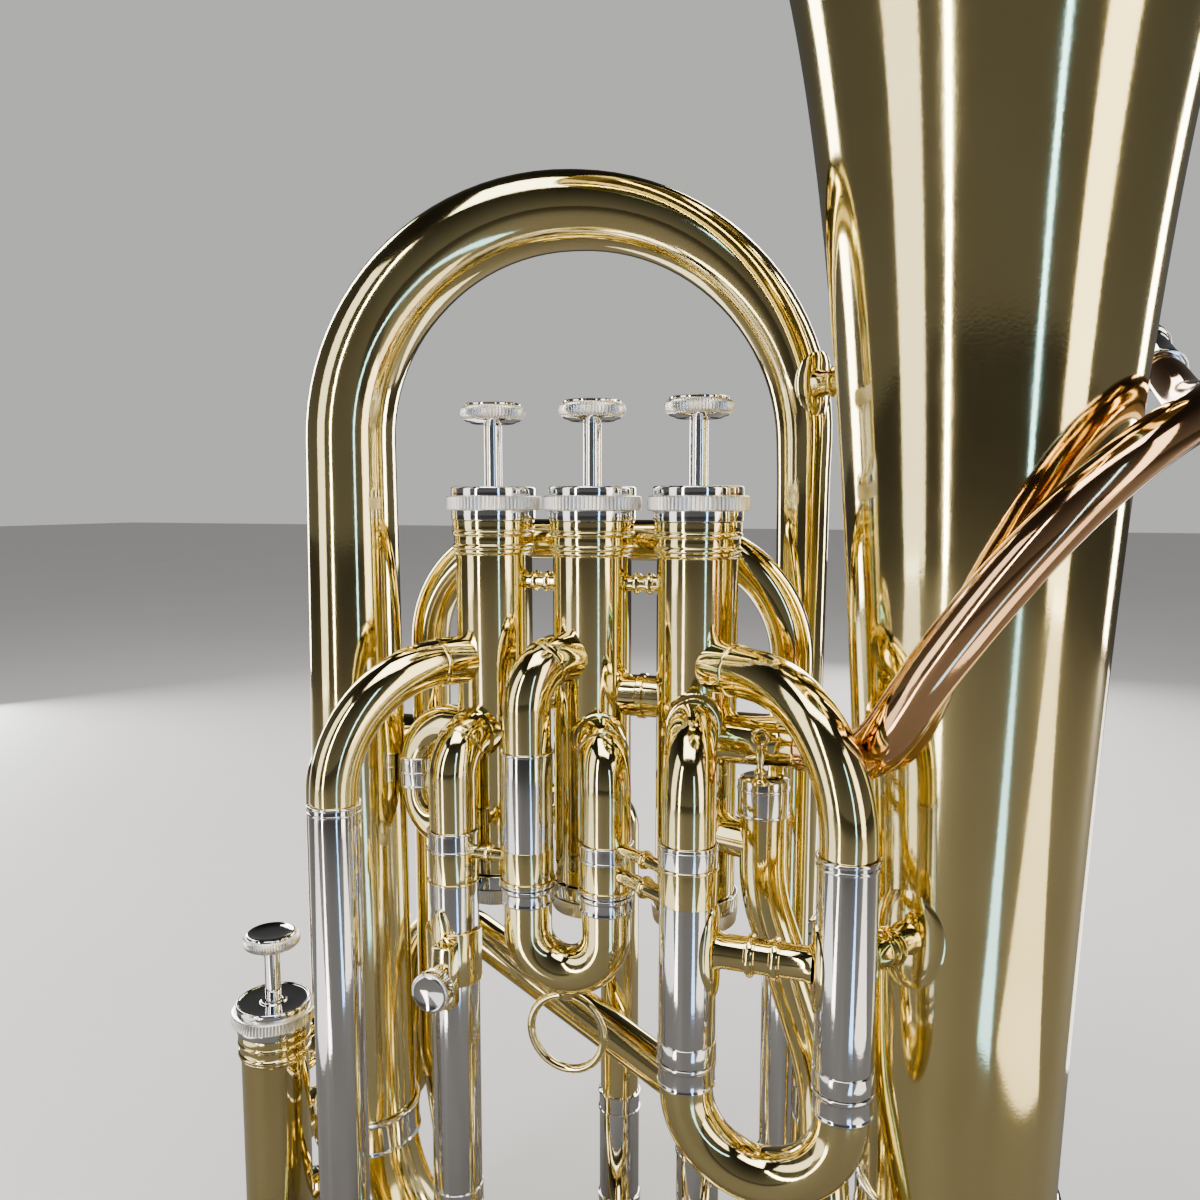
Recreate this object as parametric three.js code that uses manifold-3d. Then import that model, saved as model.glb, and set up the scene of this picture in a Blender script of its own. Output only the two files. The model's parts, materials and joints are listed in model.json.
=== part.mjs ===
// A compensating euphonium with three top valves and one side valve, in millimetres, +Z up.
// The bell opens upwards on the +X side, and the player sits on the +Y side.
// Every place below is given from the middle valve's axis (x = y = 0) and from the height of the
// top caps' knurled rings (z = 0). The whole instrument is then lifted so that the flat foot of the
// bottom bow guard lies at z = 0 with its centre on the origin.
import * as THREE from "three";
import { mergeVertices } from "three/addons/utils/BufferGeometryUtils.js";
import Module from "manifold-3d";

const wasm = await Module();
wasm.setup();

// ---- driving dimensions ----
const FOOT = [15, 10, -376];
const GAP = 0.3;
const WALL = 0.7;
const BEND_STEP = THREE.MathUtils.degToRad(30);
const TUBE_SIDES = 8;
const TURNED_SIDES = 16;

const VALVE_PITCH = 37.9;
const CASING_R = 13.75;
const CASING_BORE_R = 12.95;
const CASING_BOTTOM = -134;
const PISTON_R = 12.85;
const PISTON_TOP = -19;
const PISTON_BOTTOM = -114;
const CAP_RING_R = 17.2;
const BUTTON_R = 11.7;
const STEM_R = 3.23;

const TUBE_R = 8.2;
const SLIDE_R = 8.7;
const INNER_R = 7.3;
const STEP = 0.2;
const FIRST_END = -168;
const SECOND_END = -128.5;
const THIRD_END = -250;
const BORE_R = 7.4;

const BELL_X = 127;
const BELL_Y = 12;
const RIM_Z = 280;
const RIM_R = 150;
const BELL_BASE_Z = -235;
const BELL_WALL = 0.8;
const FLARE_OFFSET = 30;
const FLARE_POWER = 0.538;

const VALVES = {
  1: [VALVE_PITCH, 0, 0],
  2: [0, 0, 0],
  3: [-VALVE_PITCH, 0, 0],
  4: [-146, 6, -215],
};

// ---- materials ----
const metal = (color, roughness) => new THREE.MeshStandardMaterial({ color, roughness, metalness: 1 });
const brass = metal(0xd9b56a, 0.16);
const nickel = metal(0xc9c6bf, 0.14);
const rose = metal(0xc98a5e, 0.17);
const monel = metal(0xb5b2aa, 0.3);
const steel = metal(0x9a9a98, 0.35);

// ---- solids ----
function solid(geometry) {
  const bare = geometry.index ? geometry.toNonIndexed() : geometry.clone();
  bare.deleteAttribute("normal");
  bare.deleteAttribute("uv");
  const merged = mergeVertices(bare, 1e-4);
  return new wasm.Manifold(
    new wasm.Mesh({
      numProp: 3,
      vertProperties: new Float32Array(merged.attributes.position.array),
      triVerts: new Uint32Array(merged.index.array),
    }),
  );
}

function surface(manifold) {
  const mesh = manifold.getMesh();
  const count = mesh.vertProperties.length / mesh.numProp;
  const places = new Float32Array(count * 3);
  for (let i = 0; i < count; i += 1) {
    for (let k = 0; k < 3; k += 1) places[3 * i + k] = mesh.vertProperties[mesh.numProp * i + k];
  }
  const geometry = new THREE.BufferGeometry();
  geometry.setAttribute("position", new THREE.BufferAttribute(places, 3));
  geometry.setIndex([...mesh.triVerts]);
  geometry.computeVertexNormals();
  return geometry;
}

// A turned piece: the profile's [radius, height] points go anticlockwise round its section.
function turned(profile, sides = TURNED_SIDES) {
  const points = profile.map(([r, z]) => new THREE.Vector2(r, z));
  return new THREE.LatheGeometry(points, sides).rotateX(Math.PI / 2);
}

// A round bar between two points.
function bar(from, to, radius, sides = TUBE_SIDES) {
  const a = new THREE.Vector3(...from);
  const b = new THREE.Vector3(...to);
  const along = b.clone().sub(a);
  const geometry = new THREE.CylinderGeometry(radius, radius, along.length(), sides);
  const turn = new THREE.Quaternion().setFromUnitVectors(new THREE.Vector3(0, 1, 0), along.normalize());
  const middle = a.add(b).multiplyScalar(0.5);
  return geometry.applyQuaternion(turn).translate(middle.x, middle.y, middle.z);
}

const box = (size, centre) => new THREE.BoxGeometry(...size).translate(...centre);

// ---- tubes ----
// A route's corners are [x, y, z, bend radius, tube radius]. Rings stand along it with the distance
// travelled, and the tube radius runs evenly from one corner to the next.
function route(corners) {
  const points = corners.map(([x, y, z]) => new THREE.Vector3(x, y, z));
  const rings = [];
  const stations = [];
  let travelled = 0;
  const add = (p, t) => {
    if (rings.length) travelled += p.distanceTo(rings.at(-1).p);
    rings.push({ p, t, s: travelled });
  };
  const towards = (i) => points[i + 1].clone().sub(points[i]).normalize();
  points.forEach((point, i) => {
    const bend = corners[i][3];
    if (!bend || i === 0 || i === points.length - 1) {
      const way = towards(Math.min(i, points.length - 2)).add(towards(Math.max(i - 1, 0)));
      add(point, way.normalize());
      stations.push([travelled, corners[i][4]]);
      return;
    }
    const into = towards(i - 1);
    const out = towards(i);
    const turn = into.angleTo(out);
    const inward = out.clone().addScaledVector(into, -Math.cos(turn)).normalize();
    const start = point.clone().addScaledVector(into, -bend * Math.tan(turn / 2));
    const steps = Math.max(2, Math.round(turn / BEND_STEP));
    for (let k = 0; k <= steps; k += 1) {
      const angle = (turn * k) / steps;
      const p = start.clone().addScaledVector(into, bend * Math.sin(angle));
      const t = into.clone().multiplyScalar(Math.cos(angle)).addScaledVector(inward, Math.sin(angle));
      add(p.addScaledVector(inward, bend * (1 - Math.cos(angle))), t);
    }
    stations.push([travelled - (bend * turn) / 2, corners[i][4]]);
  });
  rings.forEach((ring) => (ring.r = radiusAt(stations.filter(([, r]) => r), ring.s)));
  return rings;
}

function radiusAt(stations, s) {
  const next = stations.findIndex(([at]) => at >= s);
  if (next < 0) return stations.at(-1)[1];
  if (next === 0) return stations[0][1];
  const [s0, r0] = stations[next - 1];
  const [s1, r1] = stations[next];
  return THREE.MathUtils.lerp(r0, r1, (s - s0) / (s1 - s0));
}

// The surface swept by a circle along the rings. With a wall it is an open pipe, and without one it
// is a solid rod.
function sweep(rings, wall, sides = TUBE_SIDES, grow = 0) {
  const places = [];
  const index = [];
  const tangents = rings.map(({ t }) => t);
  const side = new THREE.Vector3(1, 0, 0);
  if (Math.abs(tangents[0].x) > 0.9) side.set(0, 1, 0);
  let across = side.addScaledVector(tangents[0], -side.dot(tangents[0])).normalize();
  rings.forEach((ring, i) => {
    if (i) {
      const turn = new THREE.Quaternion().setFromUnitVectors(tangents[i - 1], tangents[i]);
      across = across.clone().applyQuaternion(turn);
    }
    const up = tangents[i].clone().cross(across);
    const radii = wall ? [ring.r + grow, ring.r + grow - wall] : [ring.r + grow];
    for (const radius of radii) {
      for (let k = 0; k < sides; k += 1) {
        const angle = (2 * Math.PI * k) / sides;
        const p = ring.p.clone().addScaledVector(across, radius * Math.cos(angle));
        places.push(...p.addScaledVector(up, radius * Math.sin(angle)).toArray());
      }
    }
  });
  const loops = wall ? 2 : 1;
  const at = (i, loop, k) => (i * loops + loop) * sides + (k % sides);
  const quad = (a, b, c, d) => index.push(a, b, c, a, c, d);
  const last = rings.length - 1;
  for (let k = 0; k < sides; k += 1) {
    for (let i = 0; i < last; i += 1) {
      quad(at(i, 0, k), at(i, 0, k + 1), at(i + 1, 0, k + 1), at(i + 1, 0, k));
      if (wall) quad(at(i, 1, k + 1), at(i, 1, k), at(i + 1, 1, k), at(i + 1, 1, k + 1));
    }
    if (wall) {
      quad(at(0, 0, k + 1), at(0, 0, k), at(0, 1, k), at(0, 1, k + 1));
      quad(at(last, 0, k), at(last, 0, k + 1), at(last, 1, k + 1), at(last, 1, k));
    } else if (k > 1) {
      index.push(at(0, 0, 0), at(0, 0, k), at(0, 0, k - 1));
      index.push(at(last, 0, 0), at(last, 0, k - 1), at(last, 0, k));
    }
  }
  const geometry = new THREE.BufferGeometry();
  geometry.setAttribute("position", new THREE.Float32BufferAttribute(places, 3));
  geometry.setIndex(index);
  geometry.computeVertexNormals();
  return geometry;
}

const pipe = (corners, wall = WALL, sides = TUBE_SIDES) => sweep(route(corners), wall, sides);
const rod = (corners, grow = 0, sides = TUBE_SIDES) => sweep(route(corners), 0, sides, grow);

// ---- where each tube runs ----
const LEGS = {
  first_outer: [94.2, -47],
  first_inner: [47.5, -47],
  second_outer: [-13.3, -28],
  second_inner: [14.2, -26],
  third_outer: [-74.3, -50],
  third_inner: [-42, -27],
  main_in: [66, 28],
  main_out: [64, 62],
  fourth_in: [28, 50],
  fourth_out: [-12, 68],
};
const ON_VALVE = (number, z) => [VALVES[number][0], VALVES[number][1], z];

// A fixed leg: out of its valve, round one bend and down through its sleeve to the slide's open end.
function legRoute(number, portZ, place, bend, sleeveZ, endZ) {
  const [x, y] = LEGS[place];
  return [
    [...ON_VALVE(number, portZ), 0, TUBE_R],
    [x, y, portZ, bend, TUBE_R],
    [x, y, sleeveZ + STEP, 0, TUBE_R],
    [x, y, sleeveZ - STEP, 0, SLIDE_R],
    [x, y, endZ, 0, SLIDE_R],
  ];
}

const FIXED_LEGS = {
  first_slide_upper_leg: {
    valves: [1],
    corners: legRoute(1, -54, "first_outer", 42, -100, FIRST_END),
  },
  first_slide_lower_leg: {
    valves: [1],
    corners: legRoute(1, -71.5, "first_inner", 20, -101, FIRST_END),
  },
  second_slide_upper_leg: {
    valves: [2],
    corners: legRoute(2, -53, "second_outer", 15, -83, SECOND_END),
  },
  second_slide_lower_leg: {
    valves: [2],
    corners: legRoute(2, -81, "second_inner", 14, -112, SECOND_END),
  },
  third_slide_upper_leg: {
    valves: [3],
    corners: legRoute(3, -56, "third_outer", 42, -101, THIRD_END),
  },
  third_slide_lower_leg: {
    valves: [3],
    corners: legRoute(3, -82, "third_inner", 12.5, -113, THIRD_END),
  },
};

// The loop tubes that run between valves, bows and slides.
const [ARCH_X, ARCH_Y] = [-80, 28];
const BOW_LEFT = [-102.3, 8];
const [MAIN_IN_X, MAIN_IN_Y] = LEGS.main_in;
const [MAIN_OUT_X, MAIN_OUT_Y] = LEGS.main_out;
const SLEEVE_TOP = -165;
const SLEEVE_END = -250;

const LOOPS = {
  back_arch: {
    valves: [4],
    corners: [
      [...ON_VALVE(4, -310), 0, 7.7],
      [VALVES[4][0], 38, -310, 16, 7.7],
      [ARCH_X, 38, -310, 16, 7.7],
      [ARCH_X, 38, -272, 30, 7.7],
      [ARCH_X, ARCH_Y, -228, 30, 7.7],
      [ARCH_X, ARCH_Y, -14, 42, 7.7],
      [MAIN_IN_X, MAIN_IN_Y, -14, 42, 7.7],
      [MAIN_IN_X, MAIN_IN_Y, SLEEVE_TOP + STEP, 0, 7.7],
      [MAIN_IN_X, MAIN_IN_Y, SLEEVE_TOP - STEP, 0, SLIDE_R],
      [MAIN_IN_X, MAIN_IN_Y, SLEEVE_END, 0, SLIDE_R],
    ],
  },
  valve_link: {
    valves: [3, 4],
    corners: [
      [...ON_VALVE(3, -100), 0, TUBE_R],
      [-VALVE_PITCH, 46, -100, 16, TUBE_R],
      [VALVES[4][0], 46, -100, 30, TUBE_R],
      [VALVES[4][0], 46, -243, 16, TUBE_R],
      [...ON_VALVE(4, -243), 0, TUBE_R],
    ],
  },
  third_compensating_loop: {
    valves: [3],
    corners: [
      [...ON_VALVE(3, -84), 0, 7.4],
      [-75, 9, -84, 17, 7.4],
      [-75, 9, -97.8, 0, 7.4],
      [-75, 9, -98.2, 0, 8],
      [-75, 9, -109.8, 0, 8],
      [-75, 9, -110.2, 0, 7.4],
      [-75, 9, -125.5, 15, 7.4],
      [...ON_VALVE(3, -125.5), 0, 7.4],
    ],
  },
  fourth_loop: {
    valves: [4],
    corners: [
      [...ON_VALVE(4, -275), 0, TUBE_R],
      [VALVES[4][0], 46, -275, 16, TUBE_R],
      [-104, 46, -264, 16, TUBE_R],
      [-97, 46, -170, 20, TUBE_R],
      [...LEGS.fourth_in, -243, 20, TUBE_R],
      [...LEGS.fourth_in, -265.8, 0, TUBE_R],
      [...LEGS.fourth_in, -266.2, 0, SLIDE_R],
      [...LEGS.fourth_in, -312, 0, SLIDE_R],
    ],
  },
  fourth_loop_return: {
    valves: [3],
    corners: [
      [...ON_VALVE(3, -126), 0, TUBE_R],
      [-VALVE_PITCH, 50, -126, 16, TUBE_R],
      [...LEGS.fourth_out, -126, 14, TUBE_R],
      [...LEGS.fourth_out, -265.8, 0, TUBE_R],
      [...LEGS.fourth_out, -266.2, 0, SLIDE_R],
      [...LEGS.fourth_out, -312, 0, SLIDE_R],
    ],
  },
};

// The return pipe from the first valve to the fourth has a closed top under the leadpipe.
const RETURN_X = 62.9;
const RETURN_Y = -8;
const RETURN_TOP = -90;
const RETURN_PORT_Z = -112;
const RETURN_ROUTE = [
  [RETURN_X, RETURN_Y, RETURN_TOP, 0, 8.2],
  [RETURN_X, RETURN_Y, -102.3, 0, 8.2],
  [RETURN_X, RETURN_Y, -102.7, 0, 7.6],
  [RETURN_X, RETURN_Y, -128, 60, 7.6],
  [84, RETURN_Y, -190, 60, 7.6],
  [90, -30, -250, 40, 7.6],
  [90, -30, -345, 26, 7.6],
  [-124, -30, -345, 14, 7.6],
  [VALVES[4][0], -30, -318, 14, 7.6],
  [...ON_VALVE(4, -318), 0, 7.6],
];

// ---- valves ----
const casingCutter = (number) => {
  const [x, y, z] = VALVES[number];
  return solid(bar([x, y, z - 160], [x, y, z + 20], CASING_R + GAP, TURNED_SIDES));
};

// A pipe with its ends cut to sit round the casings it serves.
function fitted(corners, numbers, wall = WALL) {
  return numbers.reduce((body, number) => body.subtract(casingCutter(number)), solid(pipe(corners, wall)));
}

// The bore that a tube opens in the casing it starts from, as a plug running outwards.
function portPlug(inside, outside) {
  const start = new THREE.Vector3(...inside.slice(0, 3));
  const way = new THREE.Vector3(...outside.slice(0, 3)).sub(start).normalize();
  const end = start.clone().addScaledVector(way, CASING_R + 6);
  return solid(bar(start.toArray(), end.toArray(), BORE_R - 0.6));
}

function portsOf(number) {
  const tubes = [...Object.values(FIXED_LEGS), ...Object.values(LOOPS)];
  const plugs = [];
  const serve = (inside, outside) => {
    const [x, y] = VALVES[number];
    if (Math.hypot(inside[0] - x, inside[1] - y) < 1) plugs.push(portPlug(inside, outside));
  };
  for (const { corners } of tubes) {
    serve(corners[0], corners[1]);
    serve(corners.at(-1), corners.at(-2));
  }
  serve(RETURN_ROUTE.at(-1), RETURN_ROUTE.at(-2));
  serve([...ON_VALVE(1, RETURN_PORT_Z)], [RETURN_X, RETURN_Y, RETURN_PORT_Z]);
  serve([...ON_VALVE(1, LEADPIPE_Z)], [90, 0, LEADPIPE_Z]);
  return plugs;
}

function casing(number) {
  const [x, y, z] = VALVES[number];
  const profile = [
    [CASING_BORE_R, CASING_BOTTOM],
    [CASING_R, CASING_BOTTOM],
    [CASING_R, -18],
    [14.6, -17],
    [14.6, 1],
    [CASING_BORE_R, 1],
    [CASING_BORE_R, CASING_BOTTOM],
  ];
  const body = solid(turned(profile).translate(x, y, z));
  const knuckles = [1, 2, 3].includes(number) ? knucklePlugs(number) : [];
  return surface([...portsOf(number), ...knuckles].reduce((left, plug) => left.subtract(plug), body))
    .translate(-x, -y, -z);
}

const KNUCKLE_Z = -67;
const knucklePlugs = (number) =>
  [-1, 1]
    .filter((side) => Math.abs(VALVES[number][0] + side * VALVE_PITCH) < 1.5 * VALVE_PITCH)
    .map((side) => portPlug(ON_VALVE(number, KNUCKLE_Z), [VALVES[number][0] + side * 40, 0, KNUCKLE_Z]));

function topCap() {
  return turned([
    [STEM_R + 0.4, 3.4],
    [15.2, 3.4],
    [15.2, -2.4],
    [CAP_RING_R, -2.4],
    [CAP_RING_R, 2.6],
    [14.5, 5.7],
    [STEM_R + 0.4, 5.7],
    [STEM_R + 0.4, 3.4],
  ]);
}

function bottomCap() {
  return turned([
    [0, -146],
    [13, -146],
    [14.6, -144],
    [14.6, CASING_BOTTOM - GAP],
    [CASING_BORE_R, CASING_BOTTOM - GAP],
    [CASING_BORE_R, -144.5],
    [0, -144.5],
  ]);
}

// A hollow piston with two cross passages, open at the bottom where the spring stands.
function piston() {
  const inside = PISTON_R - 1;
  const shell = solid(turned([
    [inside, PISTON_BOTTOM],
    [PISTON_R, PISTON_BOTTOM],
    [PISTON_R, PISTON_TOP],
    [0, PISTON_TOP],
    [0, PISTON_TOP - 2],
    [inside, PISTON_TOP - 2],
    [inside, PISTON_BOTTOM],
  ]));
  const post = solid(bar([0, 0, PISTON_BOTTOM + 4], [0, 0, PISTON_TOP - 1], 4));
  const limit = solid(bar([0, 0, PISTON_BOTTOM], [0, 0, PISTON_TOP - 1], PISTON_R - 0.5, TURNED_SIDES));
  const across = (z, angle, radius) => {
    const reach = [20 * Math.cos(angle), 20 * Math.sin(angle)];
    return solid(bar([-reach[0], -reach[1], z], [reach[0], reach[1], z], radius, 6));
  };
  const passages = [[-55, -0.9], [-80, 0.5]];
  let body = shell.add(post);
  for (const [z, angle] of passages) body = body.add(across(z, angle, BORE_R + 0.4).intersect(limit));
  for (const [z, angle] of passages) body = body.subtract(across(z, angle, BORE_R - 0.6));
  return surface(body);
}

// The stem and its finger button, with room for a felt washer over the cap.
function fingerButton() {
  return turned([
    [0, PISTON_TOP + GAP],
    [STEM_R, PISTON_TOP + GAP],
    [STEM_R, 27.5],
    [5, 28],
    [BUTTON_R - 1.2, 29],
    [BUTTON_R, 29.8],
    [BUTTON_R, 34],
    [BUTTON_R - 1, 35.2],
    [0, 34.6],
  ], 14);
}

function spring() {
  const [turns, radius, wire] = [4, 10.2, 0.55];
  const [low, high] = [-144.5 + GAP + wire, PISTON_BOTTOM - GAP - wire];
  const steps = turns * 8;
  const corners = Array.from({ length: steps + 1 }, (_, i) => {
    const angle = (2 * Math.PI * turns * i) / steps;
    const z = THREE.MathUtils.lerp(low, high, i / steps);
    return [radius * Math.cos(angle), radius * Math.sin(angle), z, 0, wire];
  });
  return rod(corners, 0, 3);
}

// ---- bell and bows ----
const bellRadius = (z) => RIM_R * (FLARE_OFFSET / (RIM_Z - z + FLARE_OFFSET)) ** FLARE_POWER;

function bell() {
  const heights = [BELL_BASE_Z, -130, -30, 50, 115, 170, 212, 243, 264, RIM_Z - 1];
  const outside = heights.map((z) => [bellRadius(z), z]);
  const inside = heights.map((z) => [bellRadius(z) - BELL_WALL, z + 0.2]).reverse();
  const rim = [[RIM_R + 1.8, RIM_Z - 1], [RIM_R + 1.8, RIM_Z + 0.8], [RIM_R - 0.6, RIM_Z + 0.8]];
  return turned([...outside, ...rim, ...inside, outside[0]], 24);
}

const BOW_CENTRE_Z = -255;
const BOW_BEND = 90;
const BOW_SIDES = 14;
const BOW_SMALL_R = 19.8;
const BOW_LARGE_R = bellRadius(BELL_BASE_Z);
const BOTTOM_BOW = [
  [...BOW_LEFT, BOW_CENTRE_Z, 0, BOW_SMALL_R],
  [...BOW_LEFT, BOW_CENTRE_Z - BOW_BEND, BOW_BEND - 1, BOW_SMALL_R + 2.5],
  [BELL_X, BELL_Y, BOW_CENTRE_Z - BOW_BEND, BOW_BEND - 1, BOW_LARGE_R - 2],
  [BELL_X, BELL_Y, BELL_BASE_Z - GAP, 0, BOW_LARGE_R],
];

// The guard is a strip under the bow with a flat foot, the only face that the instrument rests on.
function bottomBowGuard() {
  const strip = solid(rod(BOTTOM_BOW, 1.7, BOW_SIDES))
    .subtract(solid(rod(BOTTOM_BOW, 0.4, BOW_SIDES)))
    .intersect(solid(box([96, 34, 24], [FOOT[0] - 1, FOOT[1], FOOT[2] + 12])));
  const foot = solid(box([44, 22, 5], [FOOT[0], FOOT[1], FOOT[2] + 2.5]));
  return surface(strip.add(foot.subtract(solid(rod(BOTTOM_BOW, 0.4, BOW_SIDES)))));
}

const MAIN_BOW_TOP = 109.5;
const MAIN_BOW_BEND = 86;
const MAIN_BOW = [
  [...BOW_LEFT, BOW_CENTRE_Z + GAP, 0, BOW_SMALL_R],
  [...BOW_LEFT, 10, 0, 17.1],
  [...BOW_LEFT, MAIN_BOW_TOP, MAIN_BOW_BEND, 16.4],
  [MAIN_OUT_X, MAIN_OUT_Y, MAIN_BOW_TOP, MAIN_BOW_BEND, 12.6],
  [MAIN_OUT_X, MAIN_OUT_Y, 10, 0, 10],
  [MAIN_OUT_X, MAIN_OUT_Y, SLEEVE_TOP + STEP, 0, TUBE_R],
  [MAIN_OUT_X, MAIN_OUT_Y, SLEEVE_TOP - STEP, 0, SLIDE_R],
  [MAIN_OUT_X, MAIN_OUT_Y, SLEEVE_END, 0, SLIDE_R],
];

// A ring soldered round a joint between two tubes.
function ferrule(innerRadius, thickness, low, high) {
  const outer = innerRadius + thickness;
  return turned([[innerRadius, low], [outer, low], [outer, high], [innerRadius, high], [innerRadius, low]]);
}

// ---- leadpipe: a straight run out of the first valve, then a climb round the bell's front ----
const LEADPIPE_Z = -78.5;
const LEADPIPE_Y = -3;

// Its climb round the bell: the angle about the bell's axis, the reach from that axis and the height.
const LEADPIPE_CLIMB = [
  [209, 47.5, -78.5],
  [221, 47.3, -77.7],
  [232, 48, -74],
  [241, 49.5, -67.5],
  [249, 50.8, -57.5],
  [257, 52, -46],
  [275, 54, -22],
  [293, 56.5, -1],
  [312, 59, 15],
  [332, 61.5, 25],
  [351, 63, 30],
];

function leadpipePoints() {
  const points = [VALVE_PITCH, 58, 70].map((x) => [x, LEADPIPE_Y, LEADPIPE_Z]);
  for (const [degrees, reach, z] of LEADPIPE_CLIMB) {
    const angle = THREE.MathUtils.degToRad(degrees);
    points.push([BELL_X + reach * Math.cos(angle), BELL_Y + reach * Math.sin(angle), z]);
  }
  return [...points, [BELL_X + 64, BELL_Y + 40, 34], [BELL_X + 62, BELL_Y + 72, 47]];
}

const LEADPIPE_POINTS = leadpipePoints();
const RECEIVER_WAY = new THREE.Vector3(...LEADPIPE_POINTS.at(-1))
  .sub(new THREE.Vector3(...LEADPIPE_POINTS.at(-2)))
  .normalize();

function leadpipe() {
  const curve = new THREE.CatmullRomCurve3(LEADPIPE_POINTS.map((p) => new THREE.Vector3(...p)));
  const steps = 24;
  const rings = Array.from({ length: steps + 1 }, (_, i) => ({
    p: curve.getPointAt(i / steps),
    t: curve.getTangentAt(i / steps),
    r: THREE.MathUtils.lerp(8.3, 6.4, i / steps),
  }));
  return surface(solid(sweep(rings, WALL)).subtract(casingCutter(1)));
}

function mouthpieceReceiver() {
  const end = new THREE.Vector3(...LEADPIPE_POINTS.at(-1)).addScaledVector(RECEIVER_WAY, GAP);
  const place = (distance, radius) => {
    const point = end.clone().addScaledVector(RECEIVER_WAY, distance);
    return [...point.toArray(), 0, radius];
  };
  const corners = [place(0, 7.2), place(30, 8), place(30.4, 9.2), place(36, 9.2)];
  return pipe(corners, 1.2, TURNED_SIDES);
}

// ---- slides ----
// A crook: two inner legs that slide in the fixed legs, and a round bow.
function crookRoute(places, legEnd, centreZ, overlap, bowRadius = TUBE_R) {
  const [[x0, y0], [x1, y1]] = places.map((place) => LEGS[place]);
  const bend = Math.hypot(x1 - x0, y1 - y0) / 2;
  const down = [
    [legEnd + overlap, INNER_R],
    [legEnd - GAP, INNER_R],
    [legEnd - GAP - STEP, bowRadius],
  ];
  const mouth = (x, y) => down.map(([z, radius]) => [x, y, z, 0, radius]);
  const bottom = centreZ - bend;
  return [
    ...mouth(x0, y0),
    [x0, y0, bottom, bend - 0.05, bowRadius],
    [x1, y1, bottom, bend - 0.05, bowRadius],
    ...mouth(x1, y1).reverse(),
  ];
}

const CROOKS = {
  first_slide_crook: { route: crookRoute(["first_outer", "first_inner"], FIRST_END, -178, 45) },
  third_slide_crook: { route: crookRoute(["third_outer", "third_inner"], THIRD_END, -262, 100) },
  main_tuning_slide: { route: crookRoute(["main_in", "main_out"], SLEEVE_END, -262, 70) },
  fourth_slide_crook: { route: crookRoute(["fourth_in", "fourth_out"], -312, -323, 40) },
};

function secondSlideCrook() {
  const corners = crookRoute(["second_outer", "second_inner"], SECOND_END, -143.5, 11);
  const [[x0, y0], [x1, y1]] = [LEGS.second_outer, LEGS.second_inner];
  const [x, y] = [(x0 + x1) / 2, (y0 + y1) / 2];
  const ring = new THREE.TorusGeometry(13.2, 1.4, 6, 16).rotateX(Math.PI / 2).translate(x, y, -179.6);
  return surface(solid(pipe(corners)).add(solid(ring).subtract(solid(rod(corners, -WALL / 2)))));
}

// ---- braces ----
// A turned stay with two beads, cut round at both ends to meet the tubes it joins.
function stay(from, to, radius, cutters) {
  const a = new THREE.Vector3(...from);
  const b = new THREE.Vector3(...to);
  const at = (share) => a.clone().lerp(b, share).toArray();
  let body = solid(bar(from, to, radius));
  for (const share of [0.4, 0.6]) body = body.add(solid(bar(at(share - 0.03), at(share + 0.03), radius + 1)));
  return cutters.reduce((left, cutter) => left.subtract(cutter), body);
}

// A flange hugging a round leg: a piece of a slightly larger tube, cut to an oval by a cross bar.
function flange(x, y, z, legRadius, way, radius) {
  const sleeve = turned([
    [legRadius + GAP, z - radius],
    [legRadius + GAP + 1.1, z - radius],
    [legRadius + GAP + 1.1, z + radius],
    [legRadius + GAP, z + radius],
    [legRadius + GAP, z - radius],
  ]).translate(x, y, 0);
  const reach = legRadius + 6;
  const mouth = bar([x, y, z], [x + way[0] * reach, y + way[1] * reach, z], radius, 12);
  return solid(sleeve).intersect(solid(mouth));
}

const column = (x, y, radius, z = -100, half = 400) =>
  solid(bar([x, y, z - half], [x, y, z + half], radius, TURNED_SIDES));

function firstSlideBrace() {
  const z = -133;
  const [x0, y0] = LEGS.first_inner;
  const [x1, y1] = LEGS.first_outer;
  const cutters = [column(x0, y0, SLIDE_R + GAP), column(x1, y1, SLIDE_R + GAP)];
  return surface(
    stay([x0, y0, z], [x1, y1, z], 5.2, cutters)
      .add(flange(x0, y0, z, SLIDE_R, [1, 0], 8))
      .add(flange(x1, y1, z, SLIDE_R, [-1, 0], 7)),
  );
}

function bellSlideBrace() {
  const z = -133;
  const [x0, y0] = LEGS.first_outer;
  const way = new THREE.Vector2(BELL_X - x0, BELL_Y - y0).normalize();
  const cutters = [column(x0, y0, SLIDE_R + GAP), column(BELL_X, BELL_Y, bellRadius(z) + GAP + 1)];
  return surface(
    stay([x0, y0, z], [BELL_X, BELL_Y, z], 4.6, cutters)
      .add(flange(x0, y0, z, SLIDE_R, way.toArray(), 6.6))
      .add(flange(BELL_X, BELL_Y, z, bellRadius(z) + 1, [-way.x, -way.y], 12)),
  );
}

function bowBellBrace() {
  const z = 44;
  const [x0, y0] = [MAIN_OUT_X - 2.3, MAIN_OUT_Y - 0.7];
  const way = new THREE.Vector2(BELL_X - x0, BELL_Y - y0).normalize();
  const cutters = [column(x0, y0, 12.2), column(BELL_X, BELL_Y, bellRadius(z) + 1.5)];
  return surface(
    stay([x0, y0, z], [BELL_X, BELL_Y, z], 4.6, cutters)
      .add(flange(x0, y0, z, 11.9, way.toArray(), 10))
      .add(flange(BELL_X, BELL_Y, z, bellRadius(z) + 1.2, [-way.x, -way.y], 9)),
  );
}

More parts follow.
